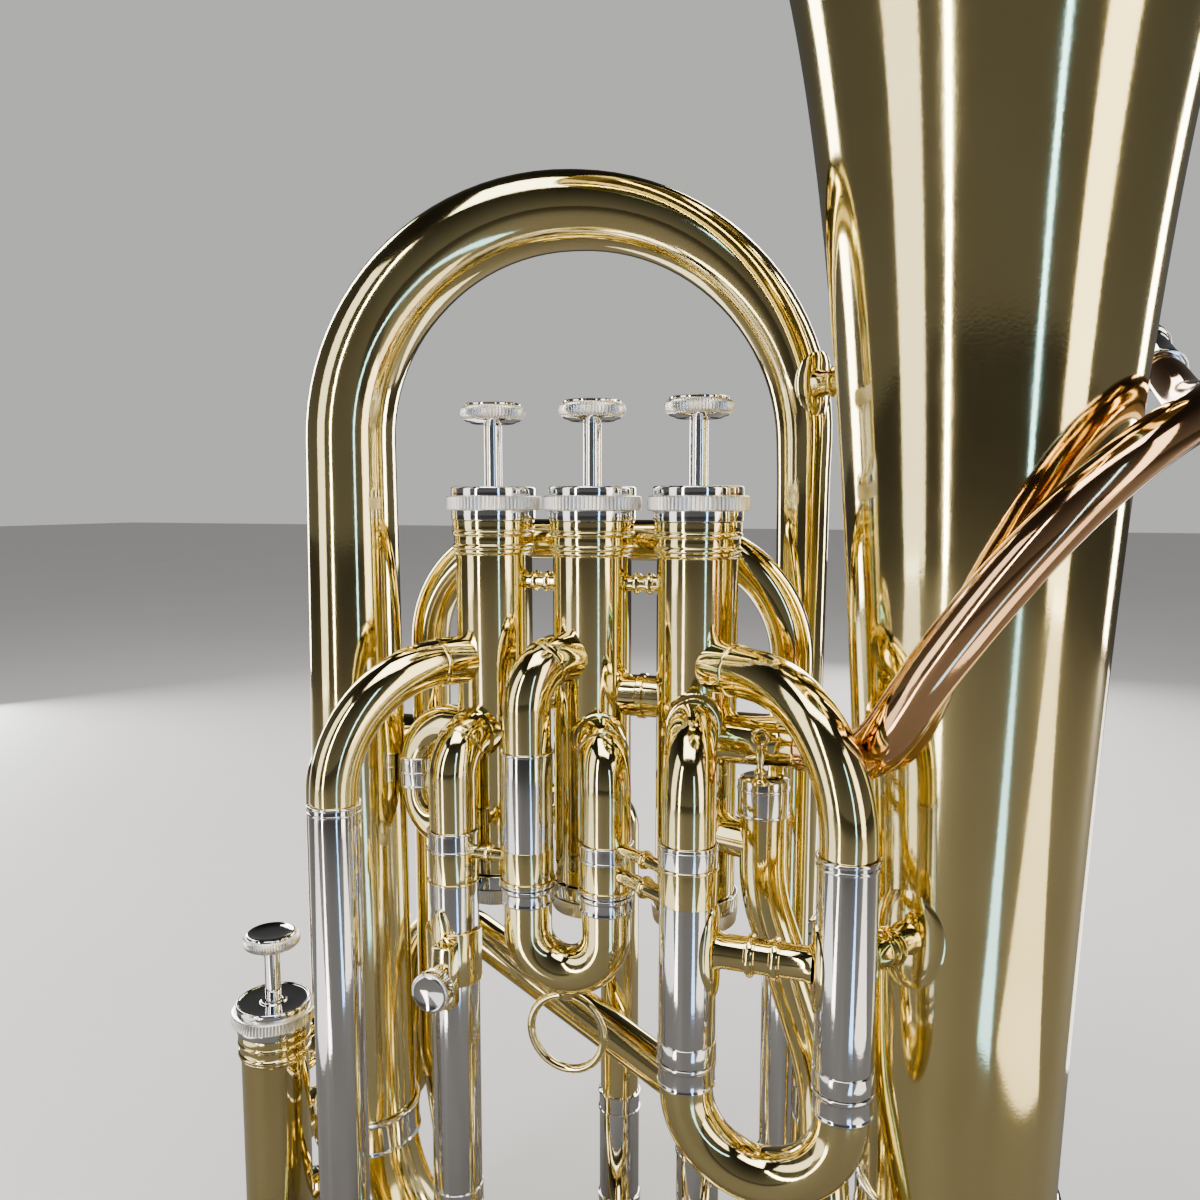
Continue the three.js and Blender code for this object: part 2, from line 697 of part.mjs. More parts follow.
const betweenValves = (left, z, radius) => {
  const half = VALVE_PITCH / 2;
  const cutters = [column(left, 0, CASING_R + GAP), column(left + VALVE_PITCH, 0, CASING_R + GAP)];
  return surface(stay([left + half - 8, 0, z], [left + half + 8, 0, z], radius, cutters));
};

function valveKnuckle(left) {
  const tube = pipe([[left, 0, KNUCKLE_Z, 0, 7.3], [left + VALVE_PITCH, 0, KNUCKLE_Z, 0, 7.3]], WALL);
  const cutters = [column(left, 0, CASING_R + GAP), column(left + VALVE_PITCH, 0, CASING_R + GAP)];
  return surface(cutters.reduce((body, cutter) => body.subtract(cutter), solid(tube)));
}

// ---- return pipe, with its closed top, its branch and a small post in front of the leadpipe ----
function compensatingReturn() {
  const branchEnd = [RETURN_X, RETURN_Y, RETURN_PORT_Z];
  const branch = (radius) => solid(bar([...ON_VALVE(1, RETURN_PORT_Z)], branchEnd, radius));
  const lid = bar([RETURN_X, RETURN_Y, RETURN_TOP - 1], [RETURN_X, RETURN_Y, RETURN_TOP + STEP], 8);
  const post = turned([
    [0, RETURN_TOP - 1],
    [1.9, RETURN_TOP - 1],
    [1.9, RETURN_TOP + 2],
    [1, RETURN_TOP + 4],
    [1.5, RETURN_TOP + 9],
    [1, RETURN_TOP + 12],
    [0, RETURN_TOP + 13],
  ], 6).translate(RETURN_X, RETURN_Y - 6.8, 0);
  const ring = new THREE.TorusGeometry(2.4, 0.8, 5, 8).rotateX(Math.PI / 2)
    .translate(RETURN_X, RETURN_Y - 6.8, RETURN_TOP + 15);
  return surface(
    solid(pipe(RETURN_ROUTE))
      .add(branch(6.6).subtract(solid(rod(RETURN_ROUTE, -WALL / 2))))
      .subtract(branch(5.9))
      .add(solid(lid))
      .add(solid(post))
      .add(solid(ring))
      .subtract(casingCutter(1))
      .subtract(casingCutter(4)),
  );
}

// ---- lyre holder: a saddle on the third slide's inner leg with a square socket and its screw ----
const LYRE = { z: -159.5, socket: [-38.5, -40.5], screw: [-38.2, -48, -160.5], wide: 7, hole: 5 };

function lyreHolder() {
  const [x, y] = LEGS.third_inner;
  const saddle = solid(turned([
    [SLIDE_R + GAP, LYRE.z - 7],
    [SLIDE_R + GAP + 1.3, LYRE.z - 7],
    [SLIDE_R + GAP + 1.3, LYRE.z + 12],
    [SLIDE_R + GAP, LYRE.z + 12],
    [SLIDE_R + GAP, LYRE.z - 7],
  ]).translate(x, y, 0)).subtract(solid(box([40, 30, 60], [x, y + 16, LYRE.z])));
  const [sx, sy] = LYRE.socket;
  const block = box([LYRE.wide, LYRE.wide, 22], [sx, sy, LYRE.z]);
  const hole = box([LYRE.hole, LYRE.hole, 40], [sx, sy, LYRE.z + 14]);
  const body = saddle.add(solid(block).subtract(column(x, y, SLIDE_R + GAP)));
  const bore = bar([LYRE.screw[0], sy - 10, LYRE.screw[2]], [LYRE.screw[0], sy - 1, LYRE.screw[2]], 2);
  return surface(body.subtract(solid(hole)).subtract(solid(bore)));
}

function lyreThumbscrew() {
  const [x, y, z] = LYRE.screw;
  const head = solid(bar([x, y - 5, z], [x, y + 1.5, z], 6.9, TURNED_SIDES));
  const shank = solid(bar([x, y + 1, z], [x, LYRE.socket[1] - 2.9, z], 1.6));
  return surface(head.add(shank));
}

// ---- water key on the main tuning slide ----
const KEY = { x: 65, y: 45, z: -262 - 17 - TUBE_R };

function waterKeySaddle() {
  const tower = (side) => box([2, 5, 8], [KEY.x + side * 4.4, KEY.y - 9, KEY.z - 2]);
  const plate = box([10.8, 12, 2], [KEY.x, KEY.y - 9, KEY.z - 2.4]);
  const nipple = bar([KEY.x, KEY.y + 3, KEY.z - 4], [KEY.x, KEY.y + 3, KEY.z + 1], 3);
  const hook = box([6, 8, 2], [KEY.x, KEY.y, KEY.z - 2.4]);
  const tunnel = bar([KEY.x, KEY.y + 3, KEY.z - 5], [KEY.x, KEY.y + 3, KEY.z + 3], 1.8);
  return surface(
    solid(plate)
      .add(solid(tower(-1)))
      .add(solid(tower(1)))
      .add(solid(hook))
      .add(solid(nipple))
      .subtract(solid(tunnel))
      .subtract(solid(rod(CROOKS.main_tuning_slide.route, GAP))),
  );
}

function waterKey() {
  const z = KEY.z - 7;
  const lever = box([4.6, 25, 1.6], [KEY.x, KEY.y - 6.5, z]);
  const pad = bar([KEY.x, KEY.y + 3, z], [KEY.x, KEY.y + 3, KEY.z - 4 - GAP], 4.2);
  const barrel = bar([KEY.x - 3, KEY.y - 9, z + 1.4], [KEY.x + 3, KEY.y - 9, z + 1.4], 1.6);
  return surface(solid(lever).add(solid(pad)).add(solid(barrel)));
}

// ---- assembly ----
function part(name, geometry, material) {
  const mesh = new THREE.Mesh(geometry, material);
  mesh.name = name;
  return mesh;
}

function valveGroup(number) {
  const group = new THREE.Group();
  group.position.set(...VALVES[number]);
  group.add(
    part(`valve_casing_${number}`, casing(number), brass),
    part(`top_cap_${number}`, topCap(), nickel),
    part(`bottom_cap_${number}`, bottomCap(), nickel),
    part(`piston_${number}`, piston(), monel),
    part(`finger_button_${number}`, fingerButton(), nickel),
    part(`valve_spring_${number}`, spring(), steel),
  );
  return group;
}

const instrument = new THREE.Group();
instrument.position.set(-FOOT[0], -FOOT[1], -FOOT[2]);
for (const number of [1, 2, 3, 4]) instrument.add(valveGroup(number));
for (const [name, { corners, valves }] of Object.entries({ ...FIXED_LEGS, ...LOOPS })) {
  instrument.add(part(name, surface(fitted(corners, valves)), brass));
}
for (const [name, { route: corners }] of Object.entries(CROOKS)) {
  instrument.add(part(name, pipe(corners), brass));
}
instrument.add(
  part("bell", bell().translate(BELL_X, BELL_Y, 0), brass),
  part("bell_ferrule", ferrule(BOW_LARGE_R + 1.3, 1.4, -245, -228).translate(BELL_X, BELL_Y, 0), nickel),
  part("bottom_bow", pipe(BOTTOM_BOW, 0.8, BOW_SIDES), brass),
  part("bottom_bow_guard", bottomBowGuard(), nickel),
  part("bow_ferrule", ferrule(BOW_SMALL_R + 1.2, 1.2, -259, -245).translate(...BOW_LEFT, 0), nickel),
  part("main_bow", pipe(MAIN_BOW, 0.8, BOW_SIDES), brass),
  part("bow_bell_brace", bowBellBrace(), brass),
  part("leadpipe", leadpipe(), rose),
  part("mouthpiece_receiver", mouthpieceReceiver(), nickel),
  part("second_slide_crook", secondSlideCrook(), brass),
  part("valve_knuckle_12", valveKnuckle(0), brass),
  part("valve_knuckle_23", valveKnuckle(-VALVE_PITCH), brass),
  part("valve_brace_12", betweenValves(0, -27.7, 2.4), brass),
  part("valve_brace_23", betweenValves(-VALVE_PITCH, -27.7, 2.4), brass),
  part("first_slide_brace", firstSlideBrace(), brass),
  part("bell_slide_brace", bellSlideBrace(), brass),
  part("compensating_return", compensatingReturn(), brass),
  part("lyre_holder", lyreHolder(), brass),
  part("lyre_thumbscrew", lyreThumbscrew(), nickel),
  part("water_key_saddle", waterKeySaddle(), brass),
  part("water_key", waterKey(), nickel),
);

export default instrument;
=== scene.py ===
"""Looks of the euphonium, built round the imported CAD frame.

Places are millimetres from the middle valve's axis (x = y = 0) and the middle of the top caps' knurled
rings (z = 0), as in the CAD source, and piece() turns them into the frame's metres.
"""
import json
import math

import bpy
import numpy as np
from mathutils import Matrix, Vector

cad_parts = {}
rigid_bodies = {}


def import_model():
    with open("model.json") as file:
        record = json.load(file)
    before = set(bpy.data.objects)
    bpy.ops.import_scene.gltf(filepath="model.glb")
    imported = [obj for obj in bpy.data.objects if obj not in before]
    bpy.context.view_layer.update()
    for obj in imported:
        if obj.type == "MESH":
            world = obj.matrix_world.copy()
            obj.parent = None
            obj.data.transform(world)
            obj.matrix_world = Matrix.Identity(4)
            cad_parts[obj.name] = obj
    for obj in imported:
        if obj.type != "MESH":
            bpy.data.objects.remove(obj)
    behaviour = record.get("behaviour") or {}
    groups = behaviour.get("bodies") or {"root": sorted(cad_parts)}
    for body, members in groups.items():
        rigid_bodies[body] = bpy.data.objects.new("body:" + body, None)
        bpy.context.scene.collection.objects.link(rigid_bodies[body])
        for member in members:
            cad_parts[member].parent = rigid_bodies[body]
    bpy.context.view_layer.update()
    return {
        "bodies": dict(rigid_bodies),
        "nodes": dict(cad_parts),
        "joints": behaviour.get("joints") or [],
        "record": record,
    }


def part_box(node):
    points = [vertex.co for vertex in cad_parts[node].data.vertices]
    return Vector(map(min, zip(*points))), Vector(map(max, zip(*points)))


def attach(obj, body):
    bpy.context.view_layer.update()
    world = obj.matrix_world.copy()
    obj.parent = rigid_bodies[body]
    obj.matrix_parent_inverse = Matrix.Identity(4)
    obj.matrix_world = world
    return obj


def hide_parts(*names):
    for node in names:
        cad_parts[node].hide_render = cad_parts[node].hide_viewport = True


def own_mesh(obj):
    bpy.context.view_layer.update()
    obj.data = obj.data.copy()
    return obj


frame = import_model()

MM = 0.001
CAP_LOW, CAP_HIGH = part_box("top_cap_2")
CAP_RING_HALF = 2.4
HOME = Vector(((CAP_LOW.x + CAP_HIGH.x) / 2, (CAP_LOW.y + CAP_HIGH.y) / 2, CAP_LOW.z + CAP_RING_HALF * MM))

TUBE_R = 8.2
SLIDE_R = 8.7
INNER_R = 7.6
WALL = 0.7
CASING_R = 13.75
CASING_BORE_R = 12.95
CASING_BOTTOM = -134
SEAT_R = 13.3
STEM_R = 3.23
STEM_HOLE_R = STEM_R + 0.35
VENT_R = 1.6
FIRST_END = -168
SECOND_END = -128.5
THIRD_END = -250
MAIN_END = -250
FOURTH_END = -312
ROUND = 48
FINE = 96


def axis_of(node):
    """The vertical axis of a CAD node, as x and y in millimetres from the middle valve."""
    low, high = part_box(node)
    middle = (low + high) / 2 - HOME
    return middle.x / MM, middle.y / MM


def drop_of(node, rest):
    """How far a CAD node stands below the same node of the middle valve, in millimetres."""
    return round((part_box(node)[0].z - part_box(rest)[0].z) / MM, 3)


VALVES = {
    n: (*axis_of(f"valve_casing_{n}"), drop_of(f"valve_casing_{n}", "valve_casing_2")) for n in (1, 2, 3, 4)
}
BELL_X, BELL_Y = axis_of("bell")


# -------------------------------- materials
def node_tree(name):
    material = bpy.data.materials.new(name)
    material.use_nodes = True
    tree = material.node_tree
    return material, tree, tree.nodes["Principled BSDF"]


def link(tree, source, target):
    tree.links.new(source, target)


def noise(tree, coordinates, scale, detail, stretch=(1, 1, 1)):
    mapping = tree.nodes.new("ShaderNodeMapping")
    mapping.inputs["Scale"].default_value = stretch
    texture = tree.nodes.new("ShaderNodeTexNoise")
    texture.inputs["Scale"].default_value = scale
    texture.inputs["Detail"].default_value = detail
    link(tree, coordinates, mapping.inputs["Vector"])
    link(tree, mapping.outputs["Vector"], texture.inputs["Vector"])
    return texture.outputs["Fac"]


def spread(tree, value, low, high, start=0.3, end=0.7):
    """Turns a 0-1 pattern into the range low-high."""
    node = tree.nodes.new("ShaderNodeMapRange")
    node.inputs["From Min"].default_value = start
    node.inputs["From Max"].default_value = end
    node.inputs["To Min"].default_value = low
    node.inputs["To Max"].default_value = high
    link(tree, value, node.inputs["Value"])
    return node.outputs["Result"]


def mixed(tree, factor, first, second):
    """A mix of two colours, each three constants or another node's output."""
    mix = tree.nodes.new("ShaderNodeMix")
    mix.data_type = "RGBA"
    link(tree, factor, mix.inputs["Factor"])
    for socket, color in (("A", first), ("B", second)):
        if isinstance(color, tuple):
            mix.inputs[socket].default_value = (*color, 1)
        else:
            link(tree, color, mix.inputs[socket])
    return mix.outputs["Result"]


def bumped(tree, shader, height, strength, distance):
    bump = tree.nodes.new("ShaderNodeBump")
    bump.inputs["Strength"].default_value = strength
    bump.inputs["Distance"].default_value = distance
    link(tree, height, bump.inputs["Height"])
    link(tree, bump.outputs["Normal"], shader.inputs["Normal"])


def polished_metal(name, color, shade, rough, lacquer=0.0, brushed=(1, 1, 1), grain=0.02):
    """Polished sheet metal: cloudy colour, hand-worn gloss, hairline polishing marks, pale worn edges."""
    material, tree, shader = node_tree(name)
    place = tree.nodes.new("ShaderNodeTexCoord").outputs["Object"]
    cloud = noise(tree, place, 28, 4)
    smear = noise(tree, place, 95, 6, (1, 1, 0.35))
    marks = noise(tree, place, 900, 3, brushed)
    pointed = tree.nodes.new("ShaderNodeNewGeometry").outputs["Pointiness"]
    worn = tuple(min(1, c * 1.12 + 0.04) for c in color)
    tint = mixed(tree, spread(tree, cloud, 0.0, 0.75), color, shade)
    edge = mixed(tree, spread(tree, pointed, 0.0, 0.6, 0.52, 0.6), tint, worn)
    link(tree, edge, shader.inputs["Base Color"])
    wear = tree.nodes.new("ShaderNodeMath")
    wear.operation = "ADD"
    link(tree, spread(tree, smear, rough * 0.75, rough * 1.35), wear.inputs[0])
    link(tree, spread(tree, marks, 0.0, grain), wear.inputs[1])
    link(tree, wear.outputs["Value"], shader.inputs["Roughness"])
    bumped(tree, shader, marks, 0.035, 0.0002)
    shader.inputs["Metallic"].default_value = 1.0
    shader.inputs["Coat Weight"].default_value = lacquer
    shader.inputs["Coat Roughness"].default_value = 0.05
    return material


BRASS = polished_metal("lacquered_brass", (0.84, 0.72, 0.39), (0.77, 0.64, 0.33), 0.07, 0.15)
NICKEL = polished_metal("nickel_silver", (0.76, 0.745, 0.735), (0.68, 0.665, 0.66), 0.06)
KNURLED = polished_metal("knurled_nickel", (0.84, 0.81, 0.77), (0.72, 0.69, 0.65), 0.32, grain=0.05)
ROSE = polished_metal("rose_brass", (0.84, 0.54, 0.31), (0.76, 0.45, 0.25), 0.07, 0.15)
MONEL = polished_metal("monel", (0.62, 0.60, 0.56), (0.54, 0.52, 0.48), 0.22, 0, (1, 1, 0.05), 0.08)
STEEL = polished_metal("spring_steel", (0.50, 0.50, 0.50), (0.42, 0.41, 0.40), 0.3)


def soft_material(name, color, shade, rough):
    """Cork: a mottled colour, a rough matt face and a fine grain."""
    material, tree, shader = node_tree(name)
    place = tree.nodes.new("ShaderNodeTexCoord").outputs["Object"]
    speck = noise(tree, place, 1400, 6)
    tint = mixed(tree, spread(tree, speck, 0.0, 1.0), color, shade)
    link(tree, tint, shader.inputs["Base Color"])
    bumped(tree, shader, speck, 0.5, 0.0003)
    shader.inputs["Roughness"].default_value = rough
    return material


CORK = soft_material("cork", (0.42, 0.26, 0.14), (0.20, 0.11, 0.06), 0.85)


# -------------------------------- mesh shells
def placed(name, data):
    obj = bpy.data.objects.new(name, data)
    bpy.context.scene.collection.objects.link(obj)
    return obj


def piece(name, shells, material, body="frame", nodes=(), sharp=38):
    """One shown piece made of closed shells, each (points in millimetres, faces)."""
    verts, faces = [], []
    for points, shell_faces in shells:
        start = len(verts)
        verts.extend(tuple(HOME + Vector(p) * MM) for p in points)
        faces.extend(tuple(i + start for i in f) for f in shell_faces)
    mesh = bpy.data.meshes.new(name)
    mesh.from_pydata(verts, [], faces)
    mesh.update()
    mesh.shade_smooth()
    mesh.set_sharp_from_angle(angle=math.radians(sharp))
    mesh.materials.append(material)
    obj = placed(name, mesh)
    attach(obj, body)
    if nodes:
        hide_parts(*nodes)
    return obj


def softened(profile, radius, closed):
    """The same outline with its corners rounded over, so that edges catch the light."""
    points = [Vector((r, z)) for r, z in profile]
    result = []
    count = len(points)
    for i, p in enumerate(points):
        if not closed and i in (0, count - 1):
            result.append(tuple(p))
            continue
        before, after = points[i - 1], points[(i + 1) % count]
        into, out = before - p, after - p
        reach = min(radius, into.length * 0.45, out.length * 0.45)
        if reach < 0.02 or math.degrees(into.angle(out)) > 160:
            result.append(tuple(p))
            continue
        a, b = p + into.normalized() * reach, p + out.normalized() * reach
        result += [tuple(a * (1 - s) ** 2 + p * (2 * s * (1 - s)) + b * s ** 2) for s in (0, 0.33, 0.67, 1)]
    return result


GROOVE = (0.0, 0.5, 1.0, 0.5)


def round_angles(count):
    return [2 * math.pi * k / count for k in range(count)]


def skin(rows, joined=False, flip=False):
    """A closed surface through rows of points, where a row of one point is a pole. Where joined, the last
    row runs on into the first. Otherwise each end that isn't a pole is closed flat."""
    sides, points, numbers = max(map(len, rows)), [], []
    for row in rows:
        numbers.append([len(points) + (k if len(row) > 1 else 0) for k in range(sides)])
        points.extend(tuple(p) for p in row)
    faces = []
    for low, high in zip(numbers, numbers[1:] + (numbers[:1] if joined else [])):
        for k in range(sides):
            j = (k + 1) % sides
            face = tuple(dict.fromkeys((low[k], low[j], high[j], high[k])))
            if len(face) > 2:
                faces.append(face)
    ends = [] if joined else [(rows[0], numbers[0][::-1]), (rows[-1], numbers[-1])]
    faces += [tuple(number) for row, number in ends if len(row) > 1]
    return points, [face[::-1] for face in faces] if flip else faces


def lathe(profile, sides=ROUND, closed=False, teeth=0, depth=0.0, band=(0, 0)):
    """A turned shell. Its outline runs anticlockwise, from axis to axis or closed on itself. Points whose
    height lies in the band are grooved round into that many teeth."""
    angles = round_angles(teeth * len(GROOVE) or sides)
    rows = []
    for r, z in profile:
        cuts = GROOVE if teeth and band[0] <= z <= band[1] else (0.0,)
        reach = [r - depth * cuts[k % len(cuts)] for k in range(len(angles) if r > 1e-6 else 1)]
        rows.append([(out * math.cos(a), out * math.sin(a), z) for out, a in zip(reach, angles)])
    return skin(rows, joined=closed)


def moved(shell, place, way=(0, 0, 1)):
    """A shell whose own z axis is turned to point along way, then carried to place."""
    turn = Vector((0, 0, 1)).rotation_difference(Vector(way)).to_matrix()
    return [tuple(turn @ Vector(p) + Vector(place)) for p in shell[0]], shell[1]


def turned(outline, place, soft=0.3, sides=ROUND, way=(0, 0, 1)):
    """A turned part with softened corners: solid where its outline starts on the axis, and else a ring."""
    ring = outline[0][0] > 0
    return moved(lathe(softened(outline, soft, closed=ring), sides, closed=ring), place, way)


def ring_shell(place, inner, outer, low, high, soft=0.35, sides=ROUND):
    return turned([(inner, low), (outer, low), (outer, high), (inner, high)], place, soft, sides)


def torus(radius, wire, place, way, sides=64, cross=16):
    profile = [(radius + wire * math.cos(a), wire * math.sin(a)) for a in round_angles(cross)]
    return moved(lathe(profile, sides, closed=True), place, way)


def rounded_row(centre, half_x, half_y, corner, z, steps):
    """A level rectangle with rounded corners, as one row of points."""
    row = []
    for sx, sy in ((1, 1), (-1, 1), (-1, -1), (1, -1)):
        for k in range(steps + 1):
            angle = math.atan2(sy, sx) - math.pi / 4 + math.pi / 2 * k / steps
            x = sx * (half_x - corner) + corner * math.cos(angle)
            y = sy * (half_y - corner) + corner * math.sin(angle)
            row.append((centre[0] + x, centre[1] + y, z))
    return row


def block(size, centre, edge):
    """A box with rounded upright and level edges."""
    x, y, half = (s / 2 for s in size)
    levels = ((-half, edge), (-half + edge, 0.0), (half - edge, 0.0), (half, edge))
    return skin([rounded_row(centre, x - cut, y - cut, edge, centre[2] + z, 4) for z, cut in levels])


# -------------------------------- tubes
BEND_STEP = math.radians(4)


class Tube:
    """A round tube along corners (x, y, z, bend radius, tube radius): true arcs joined by straight runs."""

    def __init__(self, corners):
        self.rings, stations = [], []
        points = [Vector(c[:3]) for c in corners]
        for i, (point, corner) in enumerate(zip(points, corners)):
            bend = corner[3]
            if bend and 0 < i < len(points) - 1:
                into, out = (point - points[i - 1]).normalized(), (points[i + 1] - point).normalized()
                turn = into.angle(out)
                inward = (out - into * math.cos(turn)).normalized()
                start = point - into * bend * math.tan(turn / 2)
                steps = max(3, math.ceil(turn / BEND_STEP))
                for k in range(steps + 1):
                    a = turn * k / steps
                    spot = start + into * bend * math.sin(a) + inward * bend * (1 - math.cos(a))
                    self.add(spot, into * math.cos(a) + inward * math.sin(a))
                stations.append((self.rings[-1][2] - bend * turn / 2, corner[4]))
            else:
                way = points[1] - points[0] if i == 0 else point - points[i - 1]
                self.add(point, way.normalized())
                stations.append((self.rings[-1][2], corner[4]))
        self.length, self.stations = self.rings[-1][2], stations

    def add(self, spot, way):
        far = self.rings[-1][2] + (spot - self.rings[-1][0]).length if self.rings else 0.0
        self.rings.append((spot, way, far))

    def radius(self, s):
        return float(np.interp(s, [a for a, _ in self.stations], [r for _, r in self.stations]))

    def spot(self, s):
        """The centre and direction at the distance s along the tube."""
        for (p0, t0, s0), (p1, t1, s1) in zip(self.rings, self.rings[1:]):
            if s <= s1:
                share = (s - s0) / max(s1 - s0, 1e-9)
                return p0.lerp(p1, share), t0.lerp(t1, share).normalized()
        return self.rings[-1][0], self.rings[-1][1]

    def fall_to(self, z):
        """The last distance along the tube at which its centre is still above the height z."""
        for (p0, _, s0), (p1, _, s1) in reversed(list(zip(self.rings, self.rings[1:]))):
            if (p0.z - z) * (p1.z - z) <= 0 and abs(p1.z - p0.z) > 1e-9:
                return s0 + (s1 - s0) * (p0.z - z) / (p0.z - p1.z)
        return self.length

    def shell(self, start=0.0, end=None, wall=WALL, grow=0.0, valves=(), sides=ROUND, lip=0.25):
        """An open pipe between two distances. Each valve named shapes the nearer end to its casing."""
        end = self.length if end is None else end
        rows = [(start, *self.spot(start))]
        rows += [(s, p, t) for p, t, s in self.rings if start + 1e-4 < s < end - 1e-4]
        rows.append((end, *self.spot(end)))
        side = Vector((1, 0, 0)) if abs(rows[0][2].x) < 0.9 else Vector((0, 1, 0))
        across = (side - rows[0][2] * side.dot(rows[0][2])).normalized()
        frames = []
        for i, (s, p, t) in enumerate(rows):
            if i:
                across = rows[i - 1][2].rotation_difference(t) @ across
            across = (across - t * across.dot(t)).normalized()
            frames.append((p, t, across.copy(), t.cross(across), self.radius(s)))
        loops = []

        def loop(frame, size, shift=0.0):
            p, t, u, v, r = frame
            loops.append([
                p + t * shift + u * (r + size) * math.cos(a) + v * (r + size) * math.sin(a)
                for a in round_angles(sides)
            ])

        step = min(lip, 0.2 * (end - start))
        loop(frames[0], grow - lip)
        loop(frames[0], grow, step)
        for f in frames[1:-1]:
            loop(f, grow)
        loop(frames[-1], grow, -step)
        loop(frames[-1], grow - lip)
        for f in reversed(frames):
            loop(f, grow - wall)
        for number in valves:
            self.fit(loops, frames, number)
        return skin(loops, joined=True)

    @staticmethod
    def fit(loops, frames, number):
        """Slides the rings at one end along the tube onto the seat round a valve's casing."""
        c = Vector(VALVES[number][:2])
        first = (frames[0][0].xy - c).length < (frames[-1][0].xy - c).length
        t = frames[0][1] if first else -frames[-1][1]
        half = len(frames) + 2
        ends = [loops[0], loops[1], loops[-1]] if first else [loops[half - 1], loops[half - 2], loops[half]]
        flat = Vector(t.xy)
        for ring in ends:
            for k, q in enumerate(ring):
                off = Vector(q.xy) - c
                a, b = flat.dot(flat), 2 * flat.dot(off)
                d = b * b - 4 * a * (off.dot(off) - SEAT_R * SEAT_R)
                if d > 0:
                    ring[k] = q + t * ((-b + math.sqrt(d)) / (2 * a))


def collar(tube, start, end, grow, **more):
    """A ring soldered round a tube between two distances along it."""
    return tube.shell(start, end, wall=grow + 0.25, grow=grow, lip=0.3, **more)


def bead(tube, s, height, width):
    """A fine half-round line round a tube."""
    return tube.shell(s - width / 2, s + width / 2, wall=height + 0.3, grow=height, lip=height * 0.9)


# -------------------------------- valves
def casing(number):
    """The valve casing with its rolled beads under the cap."""
    outline = [
        (CASING_BORE_R, CASING_BOTTOM), (CASING_R, CASING_BOTTOM), (CASING_R, -18.2),
        (14.3, -17.6), (14.45, -17.0), (14.3, -16.5), (14.75, -16.2), (15.0, -15.5), (14.75, -14.8),
        (14.25, -14.5), (14.25, -11.6), (14.85, -11.2), (15.1, -10.5), (14.85, -9.9), (14.55, -9.7),
        (14.8, -9.4), (14.8, -6.3), (14.55, -6.2), (14.55, 0.8), (CASING_BORE_R, 0.8),
    ]
    shell = turned(outline, VALVES[number], sides=FINE)
    piece(f"casing_{number}", [shell], BRASS, nodes=[f"valve_casing_{number}"], sharp=50)


def top_cap(number):
    """Knurled ring, smooth skirt below it and a dished cover with a rolled lip above."""
    place = VALVES[number]
    skirt = ring_shell(place, 14.62, 15.15, -6.1, -2.2, 0.25, FINE)
    ring = lathe([
        (14.7, -2.5), (16.6, -2.5), (17.0, -2.2), (17.2, -1.9), (17.2, 1.9), (17.0, 2.2), (16.6, 2.5),
        (14.7, 2.5),
    ], closed=True, teeth=80, depth=0.5, band=(-1.95, 1.95))
    cover = turned([
        (STEM_HOLE_R, 3.5), (14.9, 3.5), (14.9, 2.2), (15.3, 2.2), (15.3, 5.2), (14.9, 5.7), (14.4, 5.7),
        (13.9, 5.2), (5.6, 4.9), (5.0, 5.5), (STEM_HOLE_R, 5.5),
    ], place, sides=FINE)
    piece(f"cap_{number}", [skirt, cover], NICKEL, nodes=[f"top_cap_{number}"])
    piece(f"cap_ring_{number}", [moved(ring, place)], KNURLED)


def bottom_cap(number):
    """A plain band, then a knurled taper and a flat bottom with a vent hole."""
    place = VALVES[number]
    band = ring_shell(place, 14.0, 15.0, -139.2, CASING_BOTTOM - 0.3, 0.3, FINE)
    knurl = lathe(
        [(13.6, -145.0), (14.2, -144.8), (14.5, -144.4), (15.1, -140.2), (14.9, -139.5), (13.6, -139.3)],
        closed=True, teeth=96, depth=0.3, band=(-144.5, -140.1),
    )
    bottom = turned([
        (VENT_R, -145.9), (5.0, -146.0), (5.6, -145.6), (12.6, -145.6), (13.9, -144.9), (13.9, -139.0),
        (13.1, -139.0), (13.1, -144.6), (VENT_R, -144.8),
    ], place, sides=FINE)
    piece(f"lower_cap_{number}", [band, bottom], NICKEL, nodes=[f"bottom_cap_{number}"])
    piece(f"lower_cap_ring_{number}", [moved(knurl, place)], KNURLED)


def finger_button(number):
    """The stem and the button, knurled round its waist, dished on top and hollowed below."""
    place = VALVES[number]
    crown = lathe([
        (0, 28.5), (4.4, 28.5), (5.2, 28.1), (7.6, 28.2), (8.6, 28.8), (9.6, 29.0), (10.2, 29.4),
        (9.6, 30.2), (9.6, 34.0), (10.1, 34.4), (10.0, 34.9), (9.6, 35.2), (9.1, 35.2), (8.7, 34.9),
        (5.0, 34.45), (0, 34.3),
    ], 80)
    waist = lathe([
        (9.7, 29.5), (10.3, 29.5), (11.0, 30.0), (11.5, 30.7), (11.7, 31.5), (11.7, 32.4), (11.45, 33.2),
        (10.9, 33.9), (10.3, 34.2), (9.7, 34.2),
    ], closed=True, teeth=64, depth=0.42, band=(29.9, 34.0))
    stem = turned([(0, -18.6), (STEM_R, -18.6), (STEM_R, 28.8), (0, 28.8)], place, sides=40)
    body = f"valve_{number}"
    shells = [moved(crown, place), stem]
    piece(f"button_{number}", shells, NICKEL, body=body, nodes=[f"finger_button_{number}"])
    piece(f"button_knurl_{number}", [moved(waist, place)], KNURLED, body=body)


